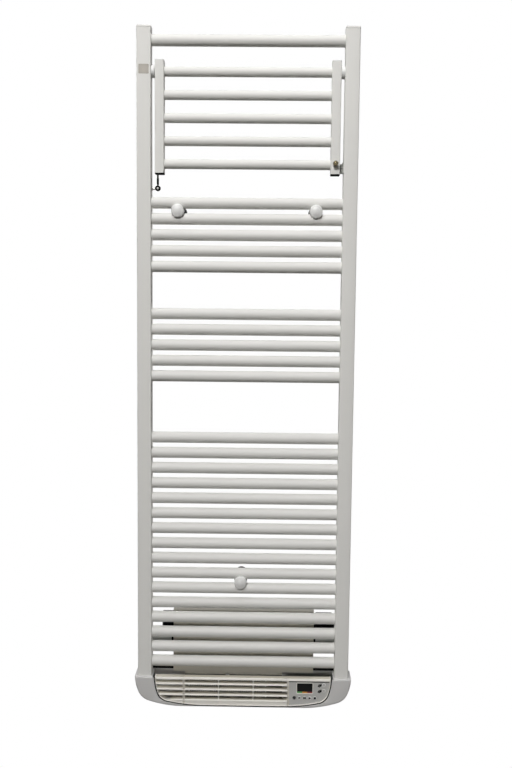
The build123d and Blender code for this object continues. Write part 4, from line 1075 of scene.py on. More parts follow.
@dataclass
class DryingRack:
    """Fold-out rack with its pivots, caps, knob, catch and latch."""

    rung: WeldedRung = WeldedRung(11.75, 1.2, 2.6, 52)
    rung_count: int = 5
    bar_corner: float = 2.5
    bar_end_round: float = 0.2
    bush_hole: float = 8.0
    cap_joint: float = 0.3
    cap_round: float = 1.6
    boss_radius: float = 15.0
    boss_gap: float = 0.3
    boss_edge: tuple[Span, ...] = ((1.2, 0.0), (0.4, 0.3), (0.0, 1.1))
    boss_bore: float = 5.1
    boss_bore_depth: float = 6.0
    collar: tuple[Span, ...] = ((4.6, HAIR), (4.6, 1.0), (3.6, 1.6), (3.0, 2.2))
    knob_radius: float = 6.5
    knob_steps: int = 18
    knob_tip: float = 0.02
    plate: float = 2.5
    plate_edge: float = 0.7
    holder_x: Span = (5.0, 2.2)
    holder_off: Span = (1.6, 5.0)
    holder_end: float = 2.0
    holder_edge: float = 1.2
    screw_spread: float = 5.333
    screw_head: tuple[Span, ...] = ((3.2, 0.0), (3.0, -0.7), (2.0, -1.4), (1.0, -1.6))
    screw_cross: Span = (1.8, 0.35)
    cross_floor: float = 0.7
    latch_screw: tuple[Span, ...] = ((2.2, -8.0), (2.2, 0.0), (2.7, 0.0), (2.7, 1.0), (2.2, 1.6),
                                     (1.2, 1.8))
    latch_slot: Span = (2.6, 0.4)
    slot_floor: float = 1.3
    eye_radius: float = 6.9
    eye_hole: float = 2.25
    eye_steps: int = 40
    eye_to_arm: float = 9.6
    neck_half: float = 1.6
    arm_half: float = 2.55
    tip_radius: float = 2.0
    tip_length: float = 8.0
    arm_edge: float = 0.35
    play: float = 0.3
    stud_radius: float = 4.2
    shank_radius: float = 3.75
    stud_foot: tuple[Span, ...] = ((5.4, HAIR), (5.4, 1.2), (4.4, 1.8), (3.75, 2.4))

    def __post_init__(self) -> None:
        """Read the rack's places."""
        self.bar_x, self.bar_off, self.bar_z = node_spans("rack_right_bar")
        self.off = middle(self.bar_off)
        low, high = node_spans("rack_rungs")[2]
        self.pivot_z = high - self.rung.radius
        self.pitch = (high - low - 2 * self.rung.radius) / (self.rung_count - 1)
        self.section = rounded_rectangle(length(self.bar_x), length(self.bar_off), self.bar_corner)
        arm_x, self.arm_off, self.arm_z = node_spans("latch_arm")
        self.eye_x, self.eye_z = middle(arm_x), self.arm_z[0] + self.eye_radius

    def bars(self) -> None:
        """Build both bars, with a round hole for the bush in each."""
        width, (low, high) = length(self.bar_x), self.bar_z
        stages = [(self.bar_end_round, low), (0.0, low + self.bar_end_round),
                  (0.0, high - self.bar_end_round), (self.bar_end_round, high)]
        for side, node in ((-1, "rack_left_bar"), (1, "rack_right_bar")):
            x = side * middle(self.bar_x)
            skin, hole = Skin(), Skin()
            skin.upright_bar(x, self.off, self.section, stages)
            hole.turned([(self.bush_hole, -width), (self.bush_hole, width)],
                        (x, self.off, self.pivot_z), Along.RIGHT)
            skin.piece(f"{node}_tube", [WHITE_COAT], "rack", [node], [hole])

    def bar_caps(self) -> None:
        """Build the white caps at the top of the bars and the black ones below."""
        for node, up, finish in (("rack_top_caps", 1, WHITE_TRIM), ("rack_bottom_caps", -1, BLACK)):
            z = node_spans(node)[2]
            seat, end = (self.bar_z[1], z[1]) if up > 0 else (self.bar_z[0], z[0])
            stages = [(self.cap_joint, seat), (0.0, seat + up * self.cap_joint)]
            stages += [(amount, end - up * (self.cap_round - rise))
                       for amount, rise in quarter(self.cap_round)]
            skin = Skin()
            for side in (-1, 1):
                skin.upright_bar(side * middle(self.bar_x), self.off, self.section, stages)
            skin.piece(f"{node}_moulded", [finish], "rack", [node], sharp=50)

    def rungs(self) -> None:
        """Build the rungs, the first of them on the pivot's line."""
        skin = Skin()
        for row in range(self.rung_count):
            self.rung.add(skin, self.bar_x[0] - HAIR, self.off, self.pivot_z - row * self.pitch)
        skin.piece("rack_rungs_welded", [WHITE_COAT], "rack", ["rack_rungs"])

    def pivots(self) -> None:
        """Build the bosses on the uprights, with a rounded edge towards the rack."""
        far = node_spans("pivot_bosses")[0][1] - HAIR
        near = self.bar_x[1] + self.boss_gap
        centre = (0.0, self.off, self.pivot_z)
        skin, bore = Skin(), Skin()
        for side in (-1, 1):
            profile = [(self.boss_radius - less, side * (near + deep)) for less, deep in self.boss_edge]
            skin.turned([*profile, (self.boss_radius, side * far)], centre, Along.RIGHT)
            bore.turned([(self.boss_bore, side * (near - 1)),
                         (self.boss_bore, side * (near + self.boss_bore_depth))], centre, Along.RIGHT)
        skin.piece("pivot_boss_discs", [WHITE_TRIM], stands_for=["pivot_bosses"], cuts=[bore])

    def knob(self) -> None:
        """Build the ball knob with its collar and neck."""
        x, off, z = node_spans("pull_knob")
        radius, ball = self.knob_radius, off[1] - self.knob_radius
        profile = [(r, self.bar_off[1] + out) for r, out in self.collar]
        start = math.asin(self.collar[-1][0] / radius)
        for i in range(self.knob_steps + 1):
            angle = start + (math.pi - start - self.knob_tip) * i / self.knob_steps
            profile.append((radius * math.sin(angle), ball - radius * math.cos(angle)))
        skin = Skin()
        skin.turned(profile, (middle(x), 0.0, middle(z)), Along.ROOM, 56)
        skin.piece("ball_knob", [BRONZE], "rack", ["pull_knob"], sharp=50)

    def catch(self) -> None:
        """Build the catch plate with the holder of its magnet."""
        x, off, z = node_spans("catch_plate")
        skin = Skin()
        skin.block((x[1] - self.plate, x[1] - HAIR), off, z, self.plate_edge, 3)
        skin.block((x[0], x[1] - 0.4), (off[0], off[0] + self.plate), z, self.plate_edge, 3)
        skin.block((x[1] - self.holder_x[0], x[1] - self.holder_x[1]),
                   (off[0] + self.holder_off[0], off[0] + self.holder_off[1]),
                   (z[0] + self.holder_end, z[1] - self.holder_end), self.holder_edge, 3)
        skin.piece("catch_bracket", [GREY_SHEET], stands_for=["catch_plate"])

    def screws(self) -> None:
        """Build the slotted screws of the latch and of the catch plate."""
        x, _, z = node_spans("catch_plate")
        face = x[1] - self.plate
        skin, cross, slot = Skin(), Skin(), Skin()
        skin.turned(self.latch_screw, (self.eye_x, self.arm_off[1] + self.play, self.eye_z), Along.ROOM)
        for side in (-1, 1):
            off = self.off + side * self.screw_spread
            skin.turned(self.screw_head, (face, off, middle(z)), Along.RIGHT, 32)
            cross.block((face - self.plate, face - self.cross_floor), around(off, self.screw_cross[0]),
                        around(middle(z), self.screw_cross[1]), 0)
        slot.block(around(self.eye_x, self.latch_slot[0]),
                   (self.arm_off[1] + self.slot_floor, self.arm_off[1] + 4),
                   around(self.eye_z, self.latch_slot[1]), 0)
        skin.piece("rack_fitting_screws", [CHROME], stands_for=["rack_screws"], cuts=[cross, slot])

    def latch_outline(self) -> list[Span]:
        """Draw the latch arm as seen from the room: an eye, a neck and a round tip.

        Returns:
            The points.
        """
        cx, cz, top = self.eye_x, self.eye_z, self.arm_z[1]
        opening = math.asin(self.neck_half / self.eye_radius)
        points = []
        for i in range(self.eye_steps + 1):
            angle = math.pi / 2 + opening + (2 * math.pi - 2 * opening) * i / self.eye_steps
            points.append((cx + self.eye_radius * math.cos(angle), cz + self.eye_radius * math.sin(angle)))
        low, high, tip = cz + self.eye_to_arm, top - self.tip_length, self.tip_radius
        side = [(self.neck_half, low - 1.4), (self.arm_half, low), (self.arm_half, high - 1.0), (tip, high)]
        points += [(cx + half, z) for half, z in side]
        points += [(cx + tip * math.cos(a), top - tip + tip * math.sin(a))
                   for a in (math.pi * i / 8 for i in range(9))]
        return points + [(cx - half, z) for half, z in reversed(side)]

    def latch(self) -> None:
        """Build the latch arm with its eye, and the stud that it turns on."""
        back, front = self.arm_off
        skin, eye = Skin(), Skin()
        skin.prism(self.latch_outline(), [(self.arm_edge, back), (0.0, back + self.arm_edge),
                                          (0.0, front - self.arm_edge), (self.arm_edge, front)])
        centre = (self.eye_x, 0.0, self.eye_z)
        eye.turned([(self.eye_hole, back - 1), (self.eye_hole, front + 1)], centre, Along.ROOM)
        skin.piece("latch_arm_moulded", [BLACK], "latch", ["latch_arm"], [eye])

        x, off, _ = node_spans("latch_stud")
        end, face = self.stud_radius - 0.3, back - self.play
        skin = Skin()
        skin.turned([(end, off[0]), (self.stud_radius, off[0] + 0.4), (self.stud_radius, face - 0.3),
                     (end, face)], centre, Along.ROOM)
        skin.turned([*((r, x[0] + far) for r, far in self.stud_foot), (self.shank_radius, self.eye_x - 2.0)],
                    (0.0, face - self.shank_radius, self.eye_z), Along.RIGHT)
        skin.piece("latch_stud_turned", [CHROME], stands_for=["latch_stud"])

    def build(self) -> None:
        """Build the whole rack."""
        self.bars()
        self.bar_caps()
        self.rungs()
        self.pivots()
        self.knob()
        self.catch()
        self.screws()
        self.latch()


# Blower casing


@dataclass(frozen=True)
class BowlOutline:
    """Outline with tangent arcs down both sides and a flat bottom."""

    half_width: float
    side_end: Span
    corner_end: Span
    flat_start: Span

    def points(self, top_z: float, amount: float = 0.0, cut: float | None = None,
               steps: int = 18) -> list[Span]:
        """Return the outline from its top right corner round to its top left one.

        Args:
            top_z: height of its top.
            amount: how far the points are moved inwards.
            cut: how far below the top it starts; the amount if not given.
            steps: how many pieces each arc is cut into.

        Returns:
            The points, as many for every amount.
        """
        cut = amount if cut is None else cut
        ends = [Vector((self.half_width - x, -z)) for x, z in
                ((0.0, 0.0), self.side_end, self.corner_end, self.flat_start)]
        arcs, lean = [], Vector((0.0, -1.0))
        for start, end in zip(ends, ends[1:]):
            arcs.append(Arc.between(start, end, lean))
            lean = arcs[-1].tangent()
        low, high = -0.5, 1.0
        for _ in range(40):
            half = (low + high) / 2
            low, high = (half, high) if arcs[0].at(half, amount).y > -cut else (low, half)
        right = [arcs[0].at(low + (1 - low) * i / steps, amount) for i in range(steps + 1)]
        for bend in arcs[1:]:
            right += [bend.at(i / steps, amount) for i in range(1, steps + 1)]
        both = right + [Vector((-point.x, point.y)) for point in reversed(right)]
        return [(point.x, top_z + point.y) for point in both]


@dataclass
class BlowerCasing:
    """Casing of the blower with its louvred front.

    The outlines of bars and blades are pairs: how far ahead of the front and how far
    above the top, or above the blade's own height, each point lies.
    """

    wall: float = 2.5
    front_radius: float = 5.0
    back_radius: float = 2.0
    insert_depth: float = 20.0
    socket_gap: float = 0.5
    socket_corner: float = 3.2
    socket_depth: float = 10.2
    rim: float = 2.6
    rim_gap: float = 0.9
    rim_step: float = -1.0
    rim_face: tuple[Span, ...] = ((1.1, -0.3), (1.5, 0.0), (1.8, 0.0), (2.3, -0.3))
    visor: float = 7.0
    visor_lip: tuple[Span, ...] = (
        (-3.4, -1.5), (-2.7, -0.6), (-2.0, -0.9), (-1.5, -1.6), (-0.2, -4.7), (0.0, -5.6),
        (-0.3, -6.5), (-1.0, -7.0), (-2.2, -7.0), (-3.4, -6.2),
    )
    visor_web: tuple[Span, ...] = ((-20.0, -1.4), (-3.0, -1.7), (-3.0, -4.2), (-20.0, -4.2))
    splits: Span = (-150.0, 115.0)
    ends_past: float = 200.0
    split_gap: float = 0.5
    rib: float = 2.2
    blades: int = 4
    blade_pitch: float = 14.3
    blade_top: float = 15.5
    blade_height: float = 4.6
    nose_back: float = 0.3
    blade_nose: tuple[Span, ...] = (
        (-2.3, 0.0), (-1.9, -0.1), (-1.5, -0.5), (-0.3, -2.8), (0.0, -3.7), (-0.3, -4.4),
        (-1.0, -4.6), (-1.9, -4.5), (-2.4, -3.9), (-2.5, -1.0),
    )
    blade_leaf: tuple[Span, ...] = ((-16.0, 1.0), (-2.1, -0.1), (-2.3, -2.4), (-4.0, -1.9), (-16.0, -1.0))
    trim_below: float = 4.0
    trim_stages: tuple[Span, ...] = ((0.0, -4.0), (0.0, -1.2))
    shadow_gap: float = 2.2
    # Black strips that paint shadow into the gaps: behind the last rung, beside the side brackets, round the
    # insert and under the visor.
    shadow_strip_play: float = 0.05
    shadow_strip_back: float = 2.6
    rung_shadow_strip: tuple[Span, ...] = ((-1.0, 4.5), (0.2, 3.0), (-0.4, 7.5))
    side_shadow_strip: tuple[Span, ...] = ((0.1, 4.4), (-6.0, 1.2))
    panel_shadow_strip: tuple[Span, ...] = ((3.0, -3.6), (-3.6, 0.8))
    outer: BowlOutline = BowlOutline(275.0, (9.7, 43.2), (33.5, 64.2), (125.0, 78.5))
    inner: BowlOutline = BowlOutline(224.5, (7.5, 43.5), (31.5, 64.5), (124.5, 74.4))

    def __post_init__(self) -> None:
        """Read the casing's places."""
        _, self.off, z = node_spans("casing_shell")
        self.top = z[1]
        self.front = self.off[1]
        self.insert_back = self.front - self.insert_depth
        self.rim_inside = self.inner.points(self.top, self.rim)

    def shell(self, ladder: Ladder) -> None:
        """Build the hollow shell, open at its front and along its top.

        Args:
            ladder: the ladder that stands in it.
        """
        stages = [(amount, self.off[0] + self.back_radius - rise)
                  for amount, rise in reversed(quarter(self.back_radius, 4))]
        stages += [(amount, self.front - self.front_radius + rise)
                   for amount, rise in quarter(self.front_radius, 8)]
        skin, cavity, mouth, slot, sockets = (Skin() for _ in range(5))
        skin.prism(lambda amount: self.outer.points(self.top, amount), stages)
        cavity.prism(self.outer.points(self.top, self.wall),
                     [(0.0, self.off[0] + self.wall), (0.0, self.front - self.wall)])
        mouth.prism(self.inner.points(self.top, -self.shadow_gap, -8.0),
                    [(0.0, self.insert_back), (0.0, self.front + 3.0)])
        slot.block(around(0.0, ladder.inner_x - self.wall - 0.3),
                   (self.off[0] + self.wall, self.front + 2.0),
                   (self.top - self.wall - 1.0, self.top + 3.0), 0)
        outline = rounded_rectangle(ladder.upright_width + self.socket_gap,
                                    ladder.upright_depth + self.socket_gap, self.socket_corner)
        for side in (-1, 1):
            sockets.upright_bar(side * middle(ladder.x_span), ladder.off, outline,
                                [(0.0, self.top - self.socket_depth), (0.0, self.top + 2.0)])
        skin.piece("casing_bowl", [WHITE_SHELL], stands_for=["casing_shell"],
                   cuts=[cavity, mouth, slot, sockets], edge=0.35, sharp=30)

    def limit_x(self, z: float, side: int) -> float:
        """Return where the inside of the rim is at a height, on one side."""
        found = [x for x, pz in self.rim_inside if pz < z]
        return max(found) if side > 0 else min(found)

    def within(self, span: Span, z: float, past: float = 0.0) -> Span:
        """Return the part of a span that lies inside the rim.

        Args:
            span: the span to the right.
            z: the height at which the rim is met.
            past: how far the part may reach into the rim.

        Returns:
            The part's two ends.
        """
        return max(span[0], self.limit_x(z, -1) - past), min(span[1], self.limit_x(z, 1) + past)

    def crossing(self, path: Sequence[Span], x: float) -> Span:
        """Find where a path crosses an upright line.

        Args:
            path: points from right to left.
            x: the line's place.

        Returns:
            The crossing, or the path's end on that side.
        """
        for (ax, az), (bx, bz) in zip(path, path[1:]):
            if bx <= x <= ax and ax > bx:
                return x, az + (bz - az) * (ax - x) / (ax - bx)
        return path[0] if x > 0 else path[-1]

    def floor_z(self, x: float) -> float:
        """Return the height of the rim's inside at a place along x."""
        return self.crossing(self.rim_inside, x)[1]

    def bar(self, skin: Skin, outline: Sequence[Span], ends: Span, off: float, z: float) -> None:
        """Add a straight bar that lies along x.

        Args:
            skin: the mesh that it goes into.
            outline: its outline, as (ahead, above) pairs.
            ends: its span to the right.
            off: distance from the wall that the first of each pair counts from.
            z: height that the second of each pair counts from.
        """
        skin.loft([[(x, off + ahead, z + above) for ahead, above in outline] for x in ends])

    def frame_section(self, skin: Skin, span: Span, shade: int = 1) -> None:
        """Add the rim, the visor and the end ribs of a section.

        Args:
            skin: the mesh that they go into.
            span: the section's span to the right.
            shade: number of the finish with painted shade, used behind the visor and on the end ribs.
        """
        step = self.front + self.rim_step
        profile = [(self.rim_gap, self.insert_back), (self.rim_gap, step),
                   *((amount, self.front + ahead) for amount, ahead in self.rim_face),
                   (self.rim, step), (self.rim, self.insert_back)]
        paths = {amount: self.inner.points(self.top, amount, 0.0) for amount, _ in profile}
        low, high = span[0] > -self.ends_past, span[1] < self.ends_past
        kept = [i for i, (x, _) in enumerate(paths[self.rim_gap])
                if (x < span[1] - 3 or not high) and (x > span[0] + 3 or not low)]
        rings = [[(*paths[amount][i], off) for amount, off in profile] for i in kept]
        if high:
            end = span[1] - self.split_gap
            rings.insert(0, [(*self.crossing(paths[amount], end), off) for amount, off in profile])
        if low:
            end = span[0] + self.split_gap
            rings.append([(*self.crossing(paths[amount], end), off) for amount, off in profile])
        skin.loft([[(x, off, z) for x, z, off in ring] for ring in rings])
        ends = self.within((span[0] + self.split_gap, span[1] - self.split_gap), self.top - 3)
        self.bar(skin, self.visor_lip, ends, self.front, self.top)
        # The web behind the visor and the end ribs take the finish with painted shade.
        skin.finish = shade
        self.bar(skin, self.visor_web, ends, self.front, self.top)
        inset_x = self.rib / 2 + self.split_gap
        for x, shared in ((span[0] + inset_x, low), (span[1] - inset_x, high)):
            if shared:
                self.rib_bar(skin, x, self.front - 1.2)
        skin.finish = 0

    def rib_bar(self, skin: Skin, x: float, front: float) -> None:
        """Add an upright rib between the visor and the rim."""
        skin.block(around(x, self.rib / 2), (self.insert_back + 3.0, front),
                   (self.floor_z(x) - 0.5, self.top - self.visor + 1.5), 0.5, 2)

    def blade_bars(self, skin: Skin, span: Span) -> None:
        """Add the louvre blades and the closed trim below them.

        Args:
            skin: the mesh that they go into.
            span: the section's span to the right.
        """
        nose = self.front - self.nose_back
        for number in range(self.blades):
            z = self.top - self.blade_top - number * self.blade_pitch
            ends = self.within(span, z - self.blade_height, 1.0)
            # The blade's nose is the louvre plastic; its leaf takes the darker copy that paints shade.
            for finish, outline in enumerate((self.blade_nose, self.blade_leaf)):
                skin.finish = finish
                self.bar(skin, outline, ends, nose, z)
        skin.finish = 0
        top_z = z - self.trim_below
        path = [p for p in self.rim_inside if p[1] < top_z and span[0] < p[0] < span[1]]
        path += [self.crossing(self.rim_inside, x) for x in span if abs(x) < self.ends_past]
        ends = self.within(span, top_z)
        outline = [(ends[1], top_z), *((x, pz - 0.4) for x, pz in sorted(path, reverse=True)),
                   (ends[0], top_z)]
        skin.prism(outline, [(amount, nose + ahead) for amount, ahead in self.trim_stages])

    def louvres(self) -> None:
        """Build both louvred sections."""
        left, right = self.splits
        left_part, main_part = Skin(), Skin()
        self.frame_section(left_part, (-self.inner.half_width, left))
        self.blade_bars(left_part, (-self.inner.half_width, left - self.rib / 2))
        left_part.piece("louvre_left", [WHITE_INSERT, LOUVRE_PAINTED_SHADE], stands_for=["grille_left"])
        self.frame_section(main_part, (left, right))
        self.blade_bars(main_part, (left + self.rib / 2, right - self.rib / 2))
        for third in (1, 2):
            self.rib_bar(main_part, left + third * (right - left) / 3, self.front - 0.9)
        main_part.piece("louvre_main", [WHITE_INSERT, LOUVRE_PAINTED_SHADE], stands_for=["grille_main"])

    def paint_gap_shadows(self, ladder: Ladder) -> None:
        """Build black strips of painted shadow behind the last rung, round the insert and over the panel.

        Args:
            ladder: the ladder that stands in the casing.
        """
        housing = node_spans("blower_housing")[0][1]
        _, bracket_off, bracket_z = node_spans("side_brackets")
        skin = Skin()
        (inner, outer), rung_off, rung_z = self.rung_shadow_strip
        side_x, side_off = self.side_shadow_strip
        for side in (-1, 1):
            near, far = sorted((side * (housing + inner), side * (ladder.inner_x + outer)))
            skin.block((near, far), shifted(rung_off, self.off[0]), shifted(rung_z, self.top), 0.5)
            near, far = sorted(side * end for end in shifted(side_x, housing))
            skin.block((near, far), shifted(side_off, bracket_off[1]), bracket_z, 0.8)
        near, far = self.shadow_strip_play - self.shadow_gap, self.rim_gap - self.shadow_strip_play
        face = self.front - self.shadow_strip_back
        ring = [(near, self.insert_back), (near, face), (far, face), (far, self.insert_back)]
        paths = [(self.inner.points(self.top, amount, 0.0), off) for amount, off in ring]
        skin.loft([[(path[i][0], off, path[i][1]) for path, off in paths]
                   for i in range(len(paths[0][0]))])
        (back, ahead), shadow_strip_z = self.panel_shadow_strip
        skin.block((self.splits[1] + self.rib, self.limit_x(self.top - 10.0, 1) - 1.0),
                   (self.insert_back + back, self.front + ahead),
                   shifted(shadow_strip_z, self.top - self.visor), 0)
        # These black strips are painted shadow in the gaps round and behind the insert.
        skin.piece("painted_shadow_strips", [BLACK_RUBBER_AND_SHADOW])

    def build(self, ladder: Ladder) -> None:
        """Build the shell, the louvres and the strips of painted shadow.

        Args:
            ladder: the ladder that stands in the casing.
        """
        self.shell(ladder)
        self.louvres()
        self.paint_gap_shadows(ladder)


# Control fascia


class Mark(Enum):
    """Plain printed mark on a button."""

    NONE = "none"
    BARS = "bars"
    PAIR = "pair"
    POINT = "point"
    SQUARE = "square"


@dataclass
class ControlFascia:
    """Panel with the display, the status strip and seven buttons."""

    casing: BlowerCasing
    recess: float = 3.0
    thickness: float = 2.5
    below_visor: float = 3.4
    bezel: float = 1.6
    bezel_proud: float = 0.8
    pane_play: float = 0.05
    button_radius: float = 4.3
    button_play: float = 0.3
    stem: Span = (2.1, 2.0)
    flange: Span = (5.1, 3.0)
    button_edge: tuple[Span, ...] = ((0.0, -0.5), (0.15, -0.15), (0.5, 0.0), (0.9, 0.0), (1.0, -0.12))
    button_face: tuple[Span, ...] = ((1.0, -0.3), (1.0, -0.1), (1.6, 0.0), (2.8, 0.0), (3.9, 0.0))
    bar_mark: Span = (2.86, 0.585)
    pair_mark: Span = (1.69, 2.86)
    mark_step: float = 1.95
    point_mark: tuple[Span, ...] = ((-2.86, -3.51), (3.51, 0.0), (-2.86, 3.51))
    square_mark: Span = (3.12, 2.86)
    mark_stages: tuple[Span, ...] = ((0.0, -0.05), (0.0, 0.06))
    stroke_lengths: tuple[float, ...] = (0.75, 1.0, 0.6)
    stroke: Span = (4.8, 8.6)
    stroke_from: Span = (-14.6, -1.6)
    stroke_step: float = 3.0
    stroke_drop: float = 4.6
    stroke_side: Span = (-1.25, 0.75)
    marks: dict[str, Mark] = field(default_factory=lambda: {
        "standby": Mark.NONE, "mode": Mark.BARS, "program": Mark.PAIR, "minus": Mark.POINT,
        "plus": Mark.SQUARE, "fan": Mark.NONE, "boost": Mark.NONE,
    })

    def __post_init__(self) -> None:
        """Read the window's place."""
        self.window_x, self.window_off, window_z = node_spans("display_window")
        self.strip_z = node_spans("status_strip")[2]
        self.window_z = (self.strip_z[0], window_z[1])
        self.panel_front = self.casing.front - self.recess
        self.panel_back = self.panel_front - self.thickness

    def centre(self, name: str) -> Span:
        """Return the middle of a button in x and z."""
        x, _, z = node_spans(f"{name}_button")
        return middle(x), middle(z)

    def panel_outline(self) -> list[Span]:
        """Draw the recessed panel as seen from the room.

        Returns:
            The points.
        """
        casing = self.casing
        left = casing.splits[1] + casing.rib / 2
        ceiling = casing.top - casing.visor - self.below_visor
        inside = [p for p in casing.inner.points(casing.top, casing.rim - 0.6)
                  if p[0] > left and p[1] < ceiling]
        floor = casing.floor_z(left) - 0.6
        return [(inside[0][0], ceiling), *inside, (left, floor), (left, ceiling)]

    def bezel_frame(self, skin: Skin) -> None:
        """Add the bezel round the display and the status strip.

        Args:
            skin: the mesh that it goes into.
        """
        width, height = length(self.window_x), length(self.window_z)
        low, high = self.panel_front + 0.4, self.panel_front + self.bezel_proud
        rings = []
        for grow, off in ((self.bezel, self.panel_back + 1), (self.bezel, low), (self.bezel - 0.4, high),
                          (0.4, high), (0.0, low), (0.0, self.panel_back + 1)):
            shape = rounded_rectangle(width + 2 * grow, height + 2 * grow, 1.0 + grow, 4)
            rings.append([(middle(self.window_x) + px, off, middle(self.window_z) + pz)
                          for px, pz in shape])
        skin.loft([*rings, rings[0]], capped=False)

    def panel(self) -> None:
        """Build the recessed panel with its frame and the bezel."""
        panel, skin, hole, holes = (Skin() for _ in range(4))
        panel.finish = 1
        panel.prism(self.panel_outline(), [(0.0, self.panel_back), (0.0, self.panel_front)])
        # Finish 2 paints the shade behind the visor and on the end rib.
        self.casing.frame_section(skin, (self.casing.splits[1], self.casing.inner.half_width), 2)
        self.bezel_frame(skin)
        hole.block(self.window_x, (self.panel_back - 1, self.panel_front + 0.1), self.window_z, 0)
        radius = self.button_radius + self.button_play
        for name in self.marks:
            x, z = self.centre(name)
            holes.turned([(radius, self.panel_back - 1), (radius, self.panel_front + 2)],
                         (x, 0.0, z), Along.ROOM, 40)
        panel.piece("fascia_panel", [WHITE_INSERT, WHITE_PANEL, LOUVRE_PAINTED_SHADE],
                    stands_for=["control_fascia"], cuts=[holes, hole], added=skin)

    def printed_marks(self) -> None:
        """Build the fine slanted marks beside the two round buttons."""
        skin = Skin()
        for name in ("fan", "boost"):
            x, z = self.centre(name)
            for step, part in enumerate(self.stroke_lengths):
                start = Vector((x + self.stroke_from[0] + self.stroke_step * step,
                                z + self.stroke_from[1] - self.stroke_drop * part))
                end = start + Vector(self.stroke) * part
                side = Vector(self.stroke_side)
                corners = [start - side, end - side, end + side, start + side]
                skin.prism([tuple(c) for c in corners],
                           [(0.0, self.panel_front - 0.02), (0.0, self.panel_front + 0.08)])
        skin.piece("fascia_marks", [INK])

    def window(self) -> None:
        """Build the display window and the status strip below it."""
        play = self.pane_play
        x = (self.window_x[0] + play, self.window_x[1] - play)
        off, strip = self.window_off, self.strip_z
        pane, band = Skin(), Skin()
        pane.block(x, off, (strip[1] + play, self.window_z[1] - play), 0.25)
        pane.piece("display_pane", [WINDOW], stands_for=["display_window"])
        band.block(x, (off[0], off[1] - 0.1), (strip[0] + play, strip[1] - play), 0.2)
        print_finish = StatusPrint("status strip print", "strip_print", left_x=self.window_x[0],
                                   right_x=self.window_x[1])
        band.piece("status_strip_print", [print_finish], stands_for=["status_strip"])

    def mark_shapes(self, mark: Mark) -> Iterable[Sequence[Span]]:
        """Draw a mark round its own middle.

        Args:
            mark: which mark.

        Yields:
            The outline of each of its parts.
        """
        if mark is Mark.BARS:
            for i in (-1, 0, 1):
                yield rectangle(0.0, i * self.mark_step, *self.bar_mark)
        elif mark is Mark.PAIR:
            for i in (-1, 1):
                yield rectangle(i * self.mark_step, 0.0, *self.pair_mark)
        elif mark is Mark.POINT:
            yield self.point_mark
        elif mark is Mark.SQUARE:
            yield rectangle(0.0, 0.0, *self.square_mark)

    def buttons(self) -> None:
        """Build the buttons, each domed with a rim and its mark."""
        radius = self.button_radius
        for name, mark in self.marks.items():
            (cx, cz), (back, front) = self.centre(name), node_spans(f"{name}_button")[1]
            centre = (cx, 0.0, cz)
            rim, face = (KEY_DARK, KEY_DARK) if name == "standby" else (KEY_RING, KEY_WHITE)
            seat, shoulder = back + self.stem[1], back + self.flange[1]
            skin = Skin()
            skin.turned([(self.stem[0], back), (self.stem[0], seat)], centre, Along.ROOM, 32)
            edge = [(radius - less, front + up) for less, up in self.button_edge]
            skin.turned([(self.flange[0], seat), (self.flange[0], shoulder), (radius, shoulder), *edge],
                        centre, Along.ROOM, 48)
            skin.finish = 1
            skin.turned([(radius - less, front + up) for less, up in self.button_face],
                        centre, Along.ROOM, 48)
            skin.finish = 2
            for shape in self.mark_shapes(mark):
                skin.prism([(cx + px, cz + pz) for px, pz in shape],
                           [(amount, front + up) for amount, up in self.mark_stages])
            skin.piece(f"{name}_button_cap", [rim, face, INK], f"{name}_key", [f"{name}_button"])

    def build(self) -> None:
        """Build the fascia."""
        self.panel()
        self.printed_marks()
        self.window()
        self.buttons()


# Parts kept as solids


@dataclass(frozen=True)
class KeptSolid:
    """Solid that is shown as it is, with its finish and softened edges."""

    node: str
    finish: Finish
    edge: float = 0.0

    def dress(self) -> None:
        """Give the solid its finish."""
        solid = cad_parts[self.node]
        solid.data.materials.clear()
        solid.data.materials.append(self.finish.material())
        if self.edge:
            soften(solid, self.edge)
        log.info("%s keeps its solid", self.node)


KEPT = (
    KeptSolid("wall_plates", WHITE_TRIM),
    KeptSolid("bracket_posts", BLACK),
    KeptSolid("bracket_screws", STEEL),
    KeptSolid("clamp_plates", WHITE_TRIM),
    KeptSolid("heating_element", STEEL),
    KeptSolid("pivot_pins", STEEL),
    KeptSolid("pivot_bushes", PALE_BUSH),
    KeptSolid("catch_magnet", MAGNET, 0.4),
    KeptSolid("display_module", MODULE),
    KeptSolid("button_mat", MAT),
    KeptSolid("control_board", BOARD),
    KeptSolid("outlet_duct", DUCT),
    KeptSolid("ptc_heater", FINS),
    KeptSolid("thermal_cutout", STEEL),
    KeptSolid("blower_housing", BEIGE, 1.2),
    KeptSolid("rear_cover", BEIGE, 0.4),
    KeptSolid("air_filter", FILTER),
    KeptSolid("fan_wheel", FAN),
    KeptSolid("fan_motor", MOTOR),
    KeptSolid("fan_bearing", STEEL),
    KeptSolid("power_board", BOARD),
    KeptSolid("cable_gland", BLACK_RUBBER_AND_SHADOW, 0.5),
    KeptSolid("side_brackets", GREY_SHEET, 0.6),
    KeptSolid("left_tube_hook", BLACK, 1.0),
    KeptSolid("junction_box", BLACK, 1.0),
    KeptSolid("casing_screws", STEEL, 0.3),
)


# Studio


@dataclass(frozen=True)
class Lamp:
    """Soft rectangular lamp.

    The size is its width and height in metres, the power is in watts, and the spread
    is the angle of its beam in degrees.
    """

    name: str
    at: Point
    towards: Point
    size: Span
    power: float
    colour: Colour = (1.0, 1.0, 1.0)
    spread: float = 180.0

    def hang(self) -> None:
        """Add the lamp to the scene."""
        data = bpy.data.lights.new(self.name, "AREA")
        data.shape = "RECTANGLE"
        data.size, data.size_y = self.size
        data.energy = self.power
        data.color = self.colour
        data.spread = math.radians(self.spread)
        lamp = bpy.data.objects.new(self.name, data)
        lamp.location = place(*self.at)
        beam = place(*self.towards) - place(*self.at)
        lamp.rotation_euler = beam.to_track_quat("-Z", "Y").to_euler()
        bpy.context.scene.collection.objects.link(lamp)


